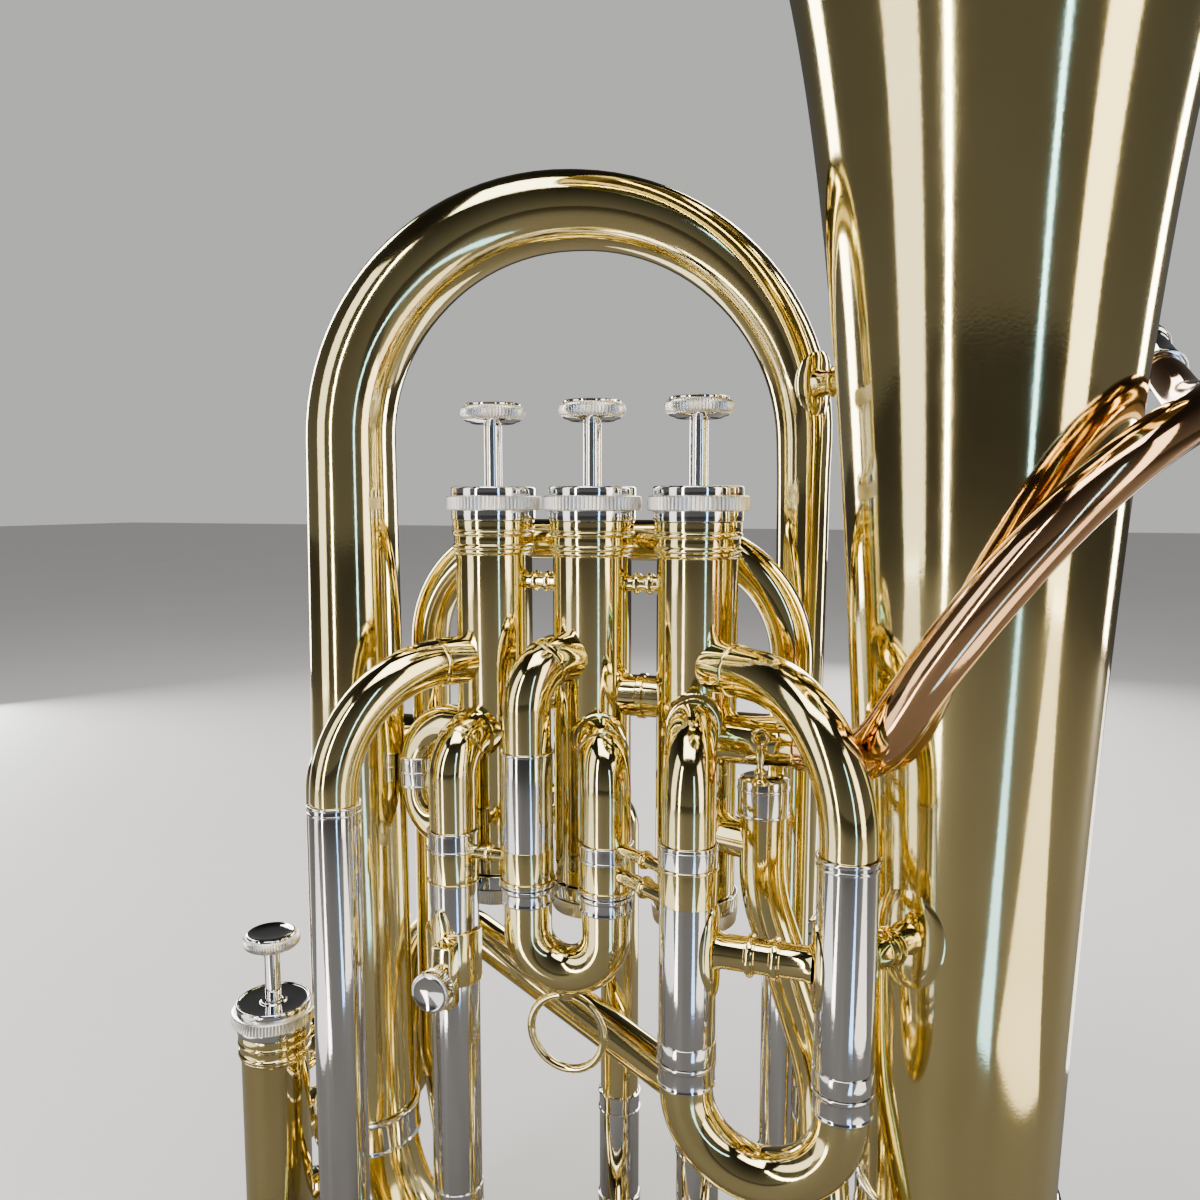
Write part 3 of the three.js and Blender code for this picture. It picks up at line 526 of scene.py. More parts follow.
def valve_spring(number):
    """The coil spring under a piston, with ground end turns."""
    x, y, z = VALVES[number]
    low, high = -143.9, -114.9
    turns, coil_r, wire, cross = 7, 10.2, 0.5, 8
    steps = turns * 24
    rings = []
    for i in range(steps + 1):
        share = i / steps
        rise = min(max((share * turns - 0.8) / (turns - 1.6), 0), 1)
        angle = 2 * math.pi * turns * share
        out, up = Vector((math.cos(angle), math.sin(angle), 0)), Vector((0, 0, 1))
        centre = Vector((x, y, z + low + (high - low) * rise)) + out * coil_r
        rings.append([centre + (out * math.cos(a) + up * math.sin(a)) * wire for a in round_angles(cross)])
    obj = piece(f"spring_{number}", [skin(rings, flip=True)], STEEL, nodes=[f"valve_spring_{number}"])
    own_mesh(obj)


for valve in VALVES:
    casing(valve)
    top_cap(valve)
    bottom_cap(valve)
    finger_button(valve)
    valve_spring(valve)
    frame["nodes"][f"piston_{valve}"].data.materials.clear()
    frame["nodes"][f"piston_{valve}"].data.materials.append(MONEL)


# -------------------------------- slide legs
LEGS = {
    "first_outer": (94.2, -47), "first_inner": (47.5, -47),
    "second_outer": (-13.3, -28), "second_inner": (14.2, -26),
    "third_outer": (-74.3, -50), "third_inner": (-42, -27),
    "main_in": (66, 28), "main_out": (64, 62),
    "fourth_in": (28, 50), "fourth_out": (-12, 68),
}


def sleeve(place, high, low, outer=SLIDE_R, wall=WALL):
    return ring_shell((*LEGS[place], 0), outer - wall, outer, low, high, 0.3)


def fixed_leg(node, number, port, place, bend, top, end, bands, flange=0.0):
    """A fixed leg: a brass elbow out of the valve, then the drawn outer slide tube in nickel silver. Each
    band is (top, bottom, extra radius, material) round the straight part. A flange ring stands round the
    elbow's root where its extra radius is given."""
    vx, vy, _ = VALVES[number]
    x, y = LEGS[place]
    tube = Tube([(vx, vy, port, 0, TUBE_R), (x, y, port, bend, TUBE_R), (x, y, top - 3, 0, TUBE_R)])
    stub = CASING_R + 8
    shells = [
        tube.shell(valves=[number]),
        tube.shell(CASING_R - 3, stub, grow=0.35, valves=[number]),
        bead(tube, stub + 0.6, 0.6, 1.2),
    ]
    if flange:
        shells.append(tube.shell(CASING_R - 3, CASING_R + 1.6, wall=flange, grow=flange, valves=[number]))
    piece(f"{node}_elbow", shells, BRASS, nodes=[node])
    piece(f"{node}_tube", [sleeve(place, top, end)], NICKEL)
    for i, (high, low, extra, material) in enumerate(bands):
        piece(f"{node}_band_{i}", [sleeve(place, high, low, SLIDE_R + extra, extra + 0.2)], material)


fixed_leg("first_slide_upper_leg", 1, -54, "first_outer", 42, -100, FIRST_END, [
    (-99.2, -100.3, 0.55, NICKEL), (-101.4, -102.5, 0.45, NICKEL), (FIRST_END + 6, FIRST_END, 0.35, NICKEL),
])
fixed_leg("first_slide_lower_leg", 1, -71.5, "first_inner", 20, -101, FIRST_END, [
    (-100.6, -107.4, 0.3, NICKEL), (-101.6, -102.4, 0.5, NICKEL), (-107.4, -108.4, 0.6, BRASS),
    (-108.4, -119.0, 0.12, BRASS), (FIRST_END + 6, FIRST_END, 0.35, NICKEL),
], 1.3)
fixed_leg("second_slide_upper_leg", 2, -53, "second_outer", 15, -83, SECOND_END, [
    (-82.4, -83.4, 0.45, NICKEL), (-115.6, -126.2, 0.15, BRASS), (-126.2, -127.4, 0.7, BRASS),
    (-127.4, SECOND_END, 0.3, NICKEL),
])
fixed_leg("second_slide_lower_leg", 2, -81, "second_inner", 14, -112, SECOND_END, [
    (-111.4, -112.4, 0.5, NICKEL), (-116.2, -117.2, 0.5, NICKEL), (-117.2, -126.4, 0.15, BRASS),
    (-126.4, -127.5, 0.7, BRASS), (-127.5, SECOND_END, 0.3, NICKEL),
], 1.3)
fixed_leg("third_slide_upper_leg", 3, -56, "third_outer", 42, -101, THIRD_END, [
    (-100.2, -101.2, 0.55, NICKEL), (-102.6, -103.5, 0.45, NICKEL), (THIRD_END + 6, THIRD_END, 0.35, NICKEL),
])
fixed_leg("third_slide_lower_leg", 3, -82, "third_inner", 12.5, -113, THIRD_END, [
    (-112.6, -113.6, 0.5, NICKEL), (-118.9, -119.9, 0.5, NICKEL), (-120.0, -130.4, 0.12, BRASS),
    (-130.4, -131.3, 0.5, BRASS), (THIRD_END + 6, THIRD_END, 0.35, NICKEL),
], 1.3)


# -------------------------------- slides that pull out
def crook(node, body, places, leg_end, centre_z, overlap, skirt=8.0):
    """A slide: two nickel silver inner legs, a turned ferrule on each and a brass bow between them."""
    (x0, y0), (x1, y1) = LEGS[places[0]], LEGS[places[1]]
    bend = math.hypot(x1 - x0, y1 - y0) / 2
    shoulder = leg_end - 0.3
    bow = Tube([
        (x0, y0, shoulder, 0, TUBE_R), (x0, y0, centre_z - bend, bend - 0.02, TUBE_R),
        (x1, y1, centre_z - bend, bend - 0.02, TUBE_R), (x1, y1, shoulder, 0, TUBE_R),
    ])
    piece(f"{node}_bow", [bow.shell()], BRASS, body=body, nodes=[node])
    foot = shoulder - skirt
    outline = [
        (TUBE_R - 0.2, foot), (TUBE_R + 0.5, foot), (TUBE_R + 0.9, foot + 0.7), (TUBE_R + 0.5, foot + 1.4),
        (TUBE_R + 0.55, shoulder - 1.6), (TUBE_R + 0.95, shoulder - 1.2), (TUBE_R + 0.95, shoulder),
        (TUBE_R - 0.2, shoulder),
    ]
    spots = ((x0, y0, 0), (x1, y1, 0))
    legs = [ring_shell(spot, INNER_R - 0.5, INNER_R + 0.25, leg_end - 6, leg_end + overlap) for spot in spots]
    piece(f"{node}_legs", legs, NICKEL, body=body)
    piece(f"{node}_ferrules", [turned(outline, spot) for spot in spots], NICKEL, body=body)


def pull_ring():
    """The finger ring soldered under the second slide's bow."""
    (x0, y0), (x1, y1) = LEGS["second_outer"], LEGS["second_inner"]
    x, y = (x0 + x1) / 2, (y0 + y1) / 2
    ring = torus(13.2, 1.4, (x, y, -179.6), (0, 1, 0))
    foot = turned([(0, -167.5), (2.6, -167.5), (3.4, -164.6), (0, -164.6)], (x, y, 0), 0.4, 32)
    piece("second_slide_pull_ring", [ring, foot], BRASS, body="second_slide", sharp=60)


crook("first_slide_crook", "first_slide", ("first_outer", "first_inner"), FIRST_END, -178, 45)
crook("second_slide_crook", "second_slide", ("second_outer", "second_inner"), SECOND_END, -143.5, 11, 6.0)
pull_ring()
crook("third_slide_crook", "third_slide", ("third_outer", "third_inner"), THIRD_END, -262, 100)
crook("main_tuning_slide", "main_slide", ("main_in", "main_out"), MAIN_END, -262, 70)
crook("fourth_slide_crook", "fourth_slide", ("fourth_in", "fourth_out"), FOURTH_END, -323, 40)


# -------------------------------- tubes between valves, bows and slides
def on_valve(number, z):
    return VALVES[number][0], VALVES[number][1], z


def loop_tube(node, corners, valves, collars):
    """A fixed tube with its soldered collars, each (start, end, extra radius, material) along it."""
    tube = Tube(corners)
    piece(f"{node}_pipe", [tube.shell(valves=valves)], BRASS, nodes=[node])
    for i, (start, end, extra, metal) in enumerate(collars):
        start = start if start >= 0 else tube.length + start
        end = end if end > 0 else tube.length + end
        shells = [collar(tube, start, end, extra)]
        shells += [bead(tube, s, extra + 0.4, 1.1) for s in (start + 0.8, end - 0.8)]
        piece(f"{node}_collar_{i}", shells, metal)


ARCH = [
    (*on_valve(4, -310), 0, 7.7), (VALVES[4][0], 38, -310, 16, 7.7), (-80, 38, -310, 16, 7.7),
    (-80, 38, -272, 30, 7.7), (-80, 28, -228, 30, 7.7), (-80, 28, -14, 42, 7.7),
    (*LEGS["main_in"], -14, 42, 7.7), (*LEGS["main_in"], -168, 0, 7.7),
]
loop_tube("back_arch", ARCH, [4], [(24, 33, 0.45, NICKEL)])
piece("main_in_sleeve", [sleeve("main_in", -165, MAIN_END)], NICKEL)

LINK = [
    (*on_valve(3, -100), 0, TUBE_R), (VALVES[3][0], 46, -100, 16, TUBE_R),
    (VALVES[4][0], 46, -100, 30, TUBE_R), (VALVES[4][0], 46, -243, 16, TUBE_R),
    (*on_valve(4, -243), 0, TUBE_R),
]
loop_tube("valve_link", LINK, [3, 4], [(20, 30, 0.45, BRASS), (-36, -26, 0.45, BRASS)])

SHORT_LOOP = (-75, 9)
COMPENSATING = [
    (*on_valve(3, -84), 0, 7.4), (*SHORT_LOOP, -84, 17, 7.4), (*SHORT_LOOP, -125.5, 15, 7.4),
    (*on_valve(3, -125.5), 0, 7.4),
]
short_loop = Tube(COMPENSATING).shell(valves=[3], lip=0.1)
piece("third_compensating_pipe", [short_loop], BRASS, nodes=["third_compensating_loop"])
piece("third_compensating_sleeve", [ring_shell((*SHORT_LOOP, 0), 7.2, 8.0, -110, -98)], NICKEL)
lines = [ring_shell((*SHORT_LOOP, 0), 7.6, 8.5, z - 0.5, z + 0.5) for z in (-98.6, -104, -109.4)]
piece("third_compensating_lines", lines, NICKEL)

FOURTH = [
    (*on_valve(4, -275), 0, TUBE_R), (VALVES[4][0], 46, -275, 16, TUBE_R), (-104, 46, -264, 16, TUBE_R),
    (-97, 46, -170, 20, TUBE_R), (*LEGS["fourth_in"], -243, 20, TUBE_R),
    (*LEGS["fourth_in"], -268, 0, TUBE_R),
]
loop_tube("fourth_loop", FOURTH, [4], [(20, 30, 0.45, BRASS), (-10, -1, 0.6, NICKEL)])
piece("fourth_in_sleeve", [sleeve("fourth_in", -266, FOURTH_END)], NICKEL)

FOURTH_BACK = [
    (*on_valve(3, -126), 0, TUBE_R), (VALVES[3][0], 50, -126, 16, TUBE_R),
    (*LEGS["fourth_out"], -126, 14, TUBE_R), (*LEGS["fourth_out"], -268, 0, TUBE_R),
]
loop_tube("fourth_loop_return", FOURTH_BACK, [3], [(20, 30, 0.45, BRASS), (-10, -1, 0.6, NICKEL)])
piece("fourth_out_sleeve", [sleeve("fourth_out", -266, FOURTH_END)], NICKEL)


# -------------------------------- bell, bows and guard
BELL_BASE_Z = -235
RIM_Z = 280
RIM_R = 150
BELL_WALL = 0.8


def bell_radius(z):
    return RIM_R * (30 / (RIM_Z - z + 30)) ** 0.538


def bell():
    """The flared bell with a rolled rim over a wire."""
    steps = 72
    shares = [1 - (1 - i / steps) ** 1.7 for i in range(steps + 1)]
    heights = [BELL_BASE_Z + (RIM_Z - 1 - BELL_BASE_Z) * share for share in shares]
    outside = [(bell_radius(z), z) for z in heights]
    inside = [(bell_radius(z) - BELL_WALL, z + 0.2) for z in heights]
    wire, turns = 1.75, [math.radians(a) for a in range(-80, 111, 19)]
    roll = [(RIM_R - 0.1 + wire * math.cos(a), RIM_Z - 0.95 + wire * math.sin(a)) for a in turns]
    shell = lathe([*outside, *roll, *reversed(inside)], 160, closed=True)
    piece("bell_body", [moved(shell, (BELL_X, BELL_Y, 0))], BRASS, nodes=["bell"], sharp=60)


def band_round(name, nodes, x, y, inner, low, high, extra):
    """A wide ferrule with a raised bead near each edge."""
    outer = inner + extra
    outline = [
        (inner, low), (outer, low), (outer + 0.5, low + 0.5), (outer + 0.5, low + 1.2), (outer, low + 1.7),
        (outer, high - 1.7), (outer + 0.5, high - 1.2), (outer + 0.5, high - 0.5), (outer, high),
        (inner, high),
    ]
    piece(name, [turned(outline, (x, y, 0), 0.35, FINE)], NICKEL, nodes=nodes)


BOW_LEFT = (-102.3, 8)
BOW_Z = -255
BOW_R = 90
BOW_SMALL_R = 19.8
BOW_LARGE_R = bell_radius(BELL_BASE_Z)
bottom_bow = Tube([
    (*BOW_LEFT, BOW_Z, 0, BOW_SMALL_R), (*BOW_LEFT, BOW_Z - BOW_R, BOW_R - 1, BOW_SMALL_R + 2.5),
    (BELL_X, BELL_Y, BOW_Z - BOW_R, BOW_R - 1, BOW_LARGE_R - 2),
    (BELL_X, BELL_Y, BELL_BASE_Z, 0, BOW_LARGE_R),
])
bell()
piece("bottom_bow_body", [bottom_bow.shell(sides=80)], BRASS, nodes=["bottom_bow"])
band_round("bell_ring", ["bell_ferrule"], BELL_X, BELL_Y, BOW_LARGE_R + 0.2, -245, -228, 1.2)
band_round("bow_ring", ["bow_ferrule"], *BOW_LEFT, BOW_SMALL_R + 0.2, -259, -245, 1.2)

main_bow = Tube([
    (*BOW_LEFT, BOW_Z, 0, BOW_SMALL_R), (*BOW_LEFT, 10, 0, 17.1), (*BOW_LEFT, 109.5, 86, 16.4),
    (*LEGS["main_out"], 109.5, 86, 12.6), (*LEGS["main_out"], 10, 0, 10),
    (*LEGS["main_out"], -168, 0, TUBE_R),
])
piece("main_bow_body", [main_bow.shell(sides=72)], BRASS, nodes=["main_bow"])
piece("main_out_sleeve", [sleeve("main_out", -165, MAIN_END)], NICKEL)
for place in ("main_in", "main_out"):
    for z in (-166, MAIN_END + 6):
        band_round(f"{place}_band_{-z}", [], *LEGS[place], SLIDE_R - 0.4, z - 5, z + 2, 0.7)
for place in ("fourth_in", "fourth_out"):
    band_round(f"{place}_band", [], *LEGS[place], SLIDE_R - 0.4, FOURTH_END, FOURTH_END + 6, 0.7)


def guard():
    """The wear strip under the bottom bow, with the flat foot that the instrument stands on."""
    low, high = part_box("bottom_bow_guard")
    x0, x1 = (low.x - HOME.x) / MM, (high.x - HOME.x) / MM
    steps, across, thick, reach = 40, 24, 1.5, math.radians(42)
    low_run = [(p.x, s) for p, _, s in bottom_bow.rings if p.z < BOW_Z - 20]
    rows = []
    for i in range(steps + 1):
        s = float(np.interp(x0 + (x1 - x0) * i / steps, *zip(*low_run)))
        p, t = bottom_bow.spot(s)
        down = t.cross(Vector((0, 1, 0))).normalized()
        down = down if down.z < 0 else -down
        side = down.cross(t).normalized()
        half = reach * (1 - 0.35 * abs(2 * i / steps - 1) ** 6)
        inner, outer = (
            [p + (down * math.cos(a) + side * math.sin(a)) * (bottom_bow.radius(s) + gap)
             for a in (half * (2 * k / across - 1) for k in range(across + 1))]
            for gap in (0.15, thick)
        )
        rows.append(inner + outer[::-1])
    foot_z = (low.z - HOME.z) / MM
    middle_x, middle_y = (x0 + x1) / 2 + 1, ((low.y + high.y) / 2 - HOME.y) / MM
    foot = block((44, 22, 5), (middle_x, middle_y, foot_z + 2.5), 1.2)
    piece("guard_strip", [skin(rows), foot], NICKEL, nodes=["bottom_bow_guard"])


guard()


# -------------------------------- leadpipe and receiver
LEADPIPE_CLIMB = (
    (209, 47.5, -78.5), (221, 47.3, -77.7), (232, 48, -74), (241, 49.5, -67.5), (249, 50.8, -57.5),
    (257, 52, -46), (275, 54, -22), (293, 56.5, -1), (312, 59, 15), (332, 61.5, 25), (351, 63, 30),
)


def leadpipe_points():
    """Out of the first valve, then a climb round the bell: angle and reach about its axis, and height."""
    points = [(x, -3, -78.5) for x in (VALVES[1][0], 58, 70)]
    for degrees, reach, z in LEADPIPE_CLIMB:
        angle = math.radians(degrees)
        points.append((BELL_X + reach * math.cos(angle), BELL_Y + reach * math.sin(angle), z))
    return [*points, (BELL_X + 64, BELL_Y + 40, 34), (BELL_X + 62, BELL_Y + 72, 47)]


class Curve(Tube):
    """A tube along a smooth curve through given points, its radius running evenly from end to end."""

    def __init__(self, points, first_r, last_r):
        self.rings, fine = [], 12
        spots = [Vector(p) for p in points]
        knots = [0.0]
        for a, b in zip(spots, spots[1:]):
            knots.append(knots[-1] + (b - a).length ** 0.5)
        padded = [2 * spots[0] - spots[1], *spots, 2 * spots[-1] - spots[-2]]
        times = [2 * knots[0] - knots[1], *knots, 2 * knots[-1] - knots[-2]]
        places = []
        for i in range(1, len(padded) - 2):
            for k in range(fine):
                t = times[i] + (times[i + 1] - times[i]) * k / fine
                places.append(self.between(padded[i - 1:i + 3], times[i - 1:i + 3], t))
        places.append(spots[-1])
        for i, p in enumerate(places):
            way = places[min(i + 1, len(places) - 1)] - places[max(i - 1, 0)]
            self.add(p, way.normalized())
        self.length = self.rings[-1][2]
        self.stations = [(0, first_r), (self.length, last_r)]

    @staticmethod
    def between(p, t, now):
        """The point of the centripetal curve through four points at one time."""
        a = [p[i].lerp(p[i + 1], (now - t[i]) / (t[i + 1] - t[i])) for i in range(3)]
        b = [a[i].lerp(a[i + 1], (now - t[i]) / (t[i + 2] - t[i])) for i in range(2)]
        return b[0].lerp(b[1], (now - t[1]) / (t[2] - t[1]))


lead = Curve(leadpipe_points(), 8.3, 6.4)
piece("leadpipe_tube", [lead.shell(valves=[1], sides=56)], ROSE, nodes=["leadpipe"])
LEAD_SEAM = 38
shells = [collar(lead, CASING_R - 4, LEAD_SEAM, 0.5, valves=[1]), bead(lead, LEAD_SEAM, 0.8, 1.4)]
piece("leadpipe_socket", shells, BRASS)


def receiver():
    """The turned mouthpiece receiver: rings at both ends, a slim waist and a tapered bore."""
    end, way = lead.spot(lead.length)
    outline = [
        (6.0, 0.3), (7.7, 0.3), (8.1, 0.9), (8.1, 2.2), (7.5, 2.9), (7.3, 3.6), (7.5, 14.0), (7.7, 27.4),
        (8.5, 28.2), (8.5, 29.4), (7.9, 30.0), (8.1, 30.7), (9.2, 31.4), (9.3, 35.6), (8.9, 36.3),
        (8.2, 36.3), (7.8, 35.6), (6.8, 30.0), (6.3, 12.0),
    ]
    piece("receiver_turned", [turned(outline, end, sides=64, way=way)], NICKEL, nodes=["mouthpiece_receiver"])


receiver()


# -------------------------------- braces
def turned_stay(start, end, radius, beads, swell=1.1, skirt=0.0):
    """A turned rod with ringed beads, its outline drawn along the line from start to end."""
    a, b = Vector(start), Vector(end)
    length = (b - a).length
    outline = [(0, 0), (radius + skirt, 0), (radius, 2.2 if skirt else 0.3)]
    step = [(-1.6, 0), (-1.4, 0.35), (-0.9, 0.35), (-0.75, swell)]
    ripple = [*step, (0, swell + 0.25), *((-dz, dr) for dz, dr in reversed(step))]
    outline += [(radius + dr, share * length + dz) for share in beads for dz, dr in ripple]
    outline += [(radius, length - (2.2 if skirt else 0.3)), (radius + skirt, length), (0, length)]
    return moved(lathe(outline, 40), start, b - a)


def saddle_flange(x, y, z, tube_r, way, half_width, half_height, thick=1.1):
    """An oval plate bent round an upright tube, thinning towards its edge."""
    facing = math.atan2(way[1], way[0])
    rays, circles = 48, 6
    circle = [(c, True) for c in range(circles + 1)] + [(c, False) for c in range(circles, -1, -1)]
    rows = []
    for c, outside in circle:
        share = math.sin(math.pi / 2 * c / circles)
        r = tube_r + 0.1 + (thick * (1 - 0.75 * share ** 8) if outside else -0.3)
        row = []
        for a in round_angles(rays)[:None if c else 1]:
            turn = facing + half_width * share * math.cos(a) / tube_r
            up = half_height * share * math.sin(a)
            row.append((x + r * math.cos(turn), y + r * math.sin(turn), z + up))
        rows.append(row)
    return skin(rows, flip=True)


def brace(name, node, start, end, z, radius, first, second, beads):
    """A stay between two upright tubes with a flange on each. first and second are each
    (tube radius, flange half width, half height)."""
    a, b = Vector((*start, z)), Vector((*end, z))
    way = (b - a).normalized()
    shells = [
        turned_stay(a + way * (first[0] + 0.4), b - way * (second[0] + 0.4), radius, beads, skirt=0.8),
        saddle_flange(*start, z, first[0], (way.x, way.y), *first[1:]),
        saddle_flange(*end, z, second[0], (-way.x, -way.y), *second[1:]),
    ]
    piece(name, shells, BRASS, nodes=[node], sharp=45)


BELL = (BELL_X, BELL_Y)
STAY_Z = -133
brace("first_slide_stay", "first_slide_brace", LEGS["first_inner"], LEGS["first_outer"], STAY_Z, 5.1,
      (SLIDE_R, 8, 14), (SLIDE_R, 8, 14), (0.36, 0.62))
brace("bell_slide_stay", "bell_slide_brace", LEGS["first_outer"], BELL, STAY_Z, 4.7,
      (SLIDE_R, 7, 12), (bell_radius(STAY_Z), 12, 16), (0.45, 0.6))
BOW_STAY_Z = 44
STAY_AT_BOW = main_bow.fall_to(BOW_STAY_Z)
brace("bow_bell_stay", "bow_bell_brace", tuple(main_bow.spot(STAY_AT_BOW)[0].xy), BELL, BOW_STAY_Z, 4.6,
      (main_bow.radius(STAY_AT_BOW), 10, 12), (bell_radius(BOW_STAY_Z), 9, 11), (0.35, 0.65))


def between_valves():
    """The knuckles and the small two-bead stays that join the three top casings."""
    pitch = abs(VALVES[1][0])
    for left, tag in ((VALVES[2][0], "12"), (VALVES[3][0], "23")):
        start, end = left + CASING_R - 0.6, left + pitch - CASING_R + 0.6
        stay = turned_stay((start, 0, -27.7), (end, 0, -27.7), 2.6, (0.3, 0.7), 1.0)
        piece(f"valve_stay_{tag}", [stay], BRASS, nodes=[f"valve_brace_{tag}"], sharp=45)
        tube = Tube([(left, 0, -67, 0, 7.3), (left + pitch, 0, -67, 0, 7.3)])
        shells = [tube.shell(CASING_R - 2.5, pitch - CASING_R + 2.5), bead(tube, pitch / 2, 0.6, 3.0)]
        piece(f"knuckle_{tag}", shells, BRASS, nodes=[f"valve_knuckle_{tag}"])


between_valves()


def small_stays():
    """Short soldered links between neighbouring slide tubes."""
    links = [
        ("second_inner", "first_inner", -112, 2.0), ("second_inner", "first_inner", -121, 2.6),
        ("third_inner", "second_outer", -120, 2.4),
    ]
    for i, (first, second, z, radius) in enumerate(links):
        start, end = Vector((*LEGS[first], z)), Vector((*LEGS[second], z))
        inset = (end - start).normalized() * (SLIDE_R - 0.5)
        stay = turned_stay(start + inset, end - inset, radius, (0.5,), 0.8)
        piece(f"slide_link_{i}", [stay], BRASS, sharp=45)


small_stays()


# -------------------------------- return pipe
RETURN_TOP = (62.9, -8, -90)
RETURN = [
    (*RETURN_TOP, 0, 8.2), (62.9, -8, -102.3, 0, 8.2), (62.9, -8, -102.7, 0, 7.6),
    (62.9, -8, -128, 60, 7.6), (84, -8, -190, 60, 7.6), (90, -30, -250, 40, 7.6), (90, -30, -345, 26, 7.6),
    (-124, -30, -345, 14, 7.6), (VALVES[4][0], -30, -318, 14, 7.6), (*on_valve(4, -318), 0, 7.6),
]


def return_pipe():
    """The pipe from the first valve back to the fourth: capped top, side branch and turned post."""
    x, y, top = RETURN_TOP
    axis = (x, y, 0)
    branch = Tube([(*on_valve(1, -112), 0, 6.6), (x, y, -112, 0, 6.6)])
    shells = [Tube(RETURN).shell(valves=[4]), branch.shell(valves=[1])]
    piece("return_pipe", shells, BRASS, nodes=["compensating_return"])
    lid = turned([(0, top - 1.2), (8.0, top - 1.2), (8.0, top), (6.5, top + 0.8), (0, top + 0.9)], axis, 0.4)
    lines = [ring_shell(axis, 8.0, 8.75, z - 0.5, z + 0.5) for z in (-93.2, -101.8)]
    piece("return_pipe_cap", [lid, ring_shell(axis, 8.0, 8.4, -102.4, -90.0), *lines], NICKEL)
    foot = (x, y - 6.8, top)
    post = turned([
        (0, -0.5), (2.9, -0.5), (2.9, 0.6), (1.9, 1.4), (1.5, 2.6), (2.1, 3.4), (2.1, 4.0), (1.2, 4.8),
        (1.0, 6.5), (1.6, 8.6), (1.6, 9.8), (1.0, 11.8), (1.3, 12.4), (0, 12.6),
    ], foot, sides=32)
    ring = torus(2.4, 0.75, (*foot[:2], top + 15), (0, 1, 0), 40, 12)
    piece("leadpipe_post", [post, ring], BRASS, sharp=50)


return_pipe()


# -------------------------------- lyre holder and screw
LYRE_Z = -159.5
SOCKET = (-38.5, -40.5)
SCREW = (-38.2, -48, -160.5)
FORWARD = (0, -1, 0)


def square_tube(centre, outer, inner, low, high):
    """An upright square socket with a blind square hole open at the top."""
    edge = 0.6
    levels = [
        (low, outer / 2 - edge), (low + edge, outer / 2), (high - edge, outer / 2), (high, outer / 2 - edge),
        (high, inner / 2 + 0.25), (high - 0.4, inner / 2), (low + 5, inner / 2),
    ]
    return skin([rounded_row(centre, half, half, min(edge, half * 0.3), z, 3) for z, half in levels])


def half_band(x, y, low, high, inner, thick):
    """A curved plate round the -Y half of an upright tube."""
    reach, steps = 98, 36
    outer = inner + thick
    section = softened([(inner, low), (outer, low), (outer, high), (inner, high)], 0.4, closed=True)
    rows = []
    for i in range(steps + 1):
        angle = math.radians(-90 + reach * (2 * i / steps - 1))
        rows.append([(x + r * math.cos(angle), y + r * math.sin(angle), z) for r, z in section])
    return skin(rows, flip=True)


def lyre_holder():
    x, y = LEGS["third_inner"]
    plate = half_band(x, y, LYRE_Z - 7, LYRE_Z + 12, SLIDE_R + 0.15, 1.2)
    tip = saddle_flange(x, y, LYRE_Z + 12.5, SLIDE_R, (-0.1, -1), 3.6, 8, 1.3)
    socket = square_tube(SOCKET, 7, 5, LYRE_Z - 11, LYRE_Z + 11)
    root = (SCREW[0], SOCKET[1] - 3.4, SCREW[2])
    boss = turned([(1.9, 0), (3.2, 0), (3.2, 1.0), (1.9, 1.0)], root, sides=40, way=FORWARD)
    piece("lyre_socket", [plate, tip, socket, boss], BRASS, nodes=["lyre_holder"], sharp=45)


def lyre_screw():
    head = lathe([
        (0, -1.5), (5.4, -1.5), (6.2, -1.2), (6.7, -0.6), (6.9, 0.2), (6.9, 3.6), (6.7, 4.3), (6.2, 4.8),
        (5.6, 5.0), (5.2, 4.75), (0, 4.7),
    ], teeth=52, depth=0.3, band=(-0.7, 4.35))
    shank = turned([(0, -4.0), (1.5, -4.0), (1.6, -1.2), (0, -1.2)], SCREW, sides=32, way=FORWARD)
    shells = [moved(head, SCREW, FORWARD), shank]
    piece("lyre_screw_head", shells, NICKEL, body="lyre_screw", nodes=["lyre_thumbscrew"])


lyre_holder()
lyre_screw()


# -------------------------------- water key
KEY_X, KEY_Y, KEY_Z = 65, 45, -262 - 17 - TUBE_R


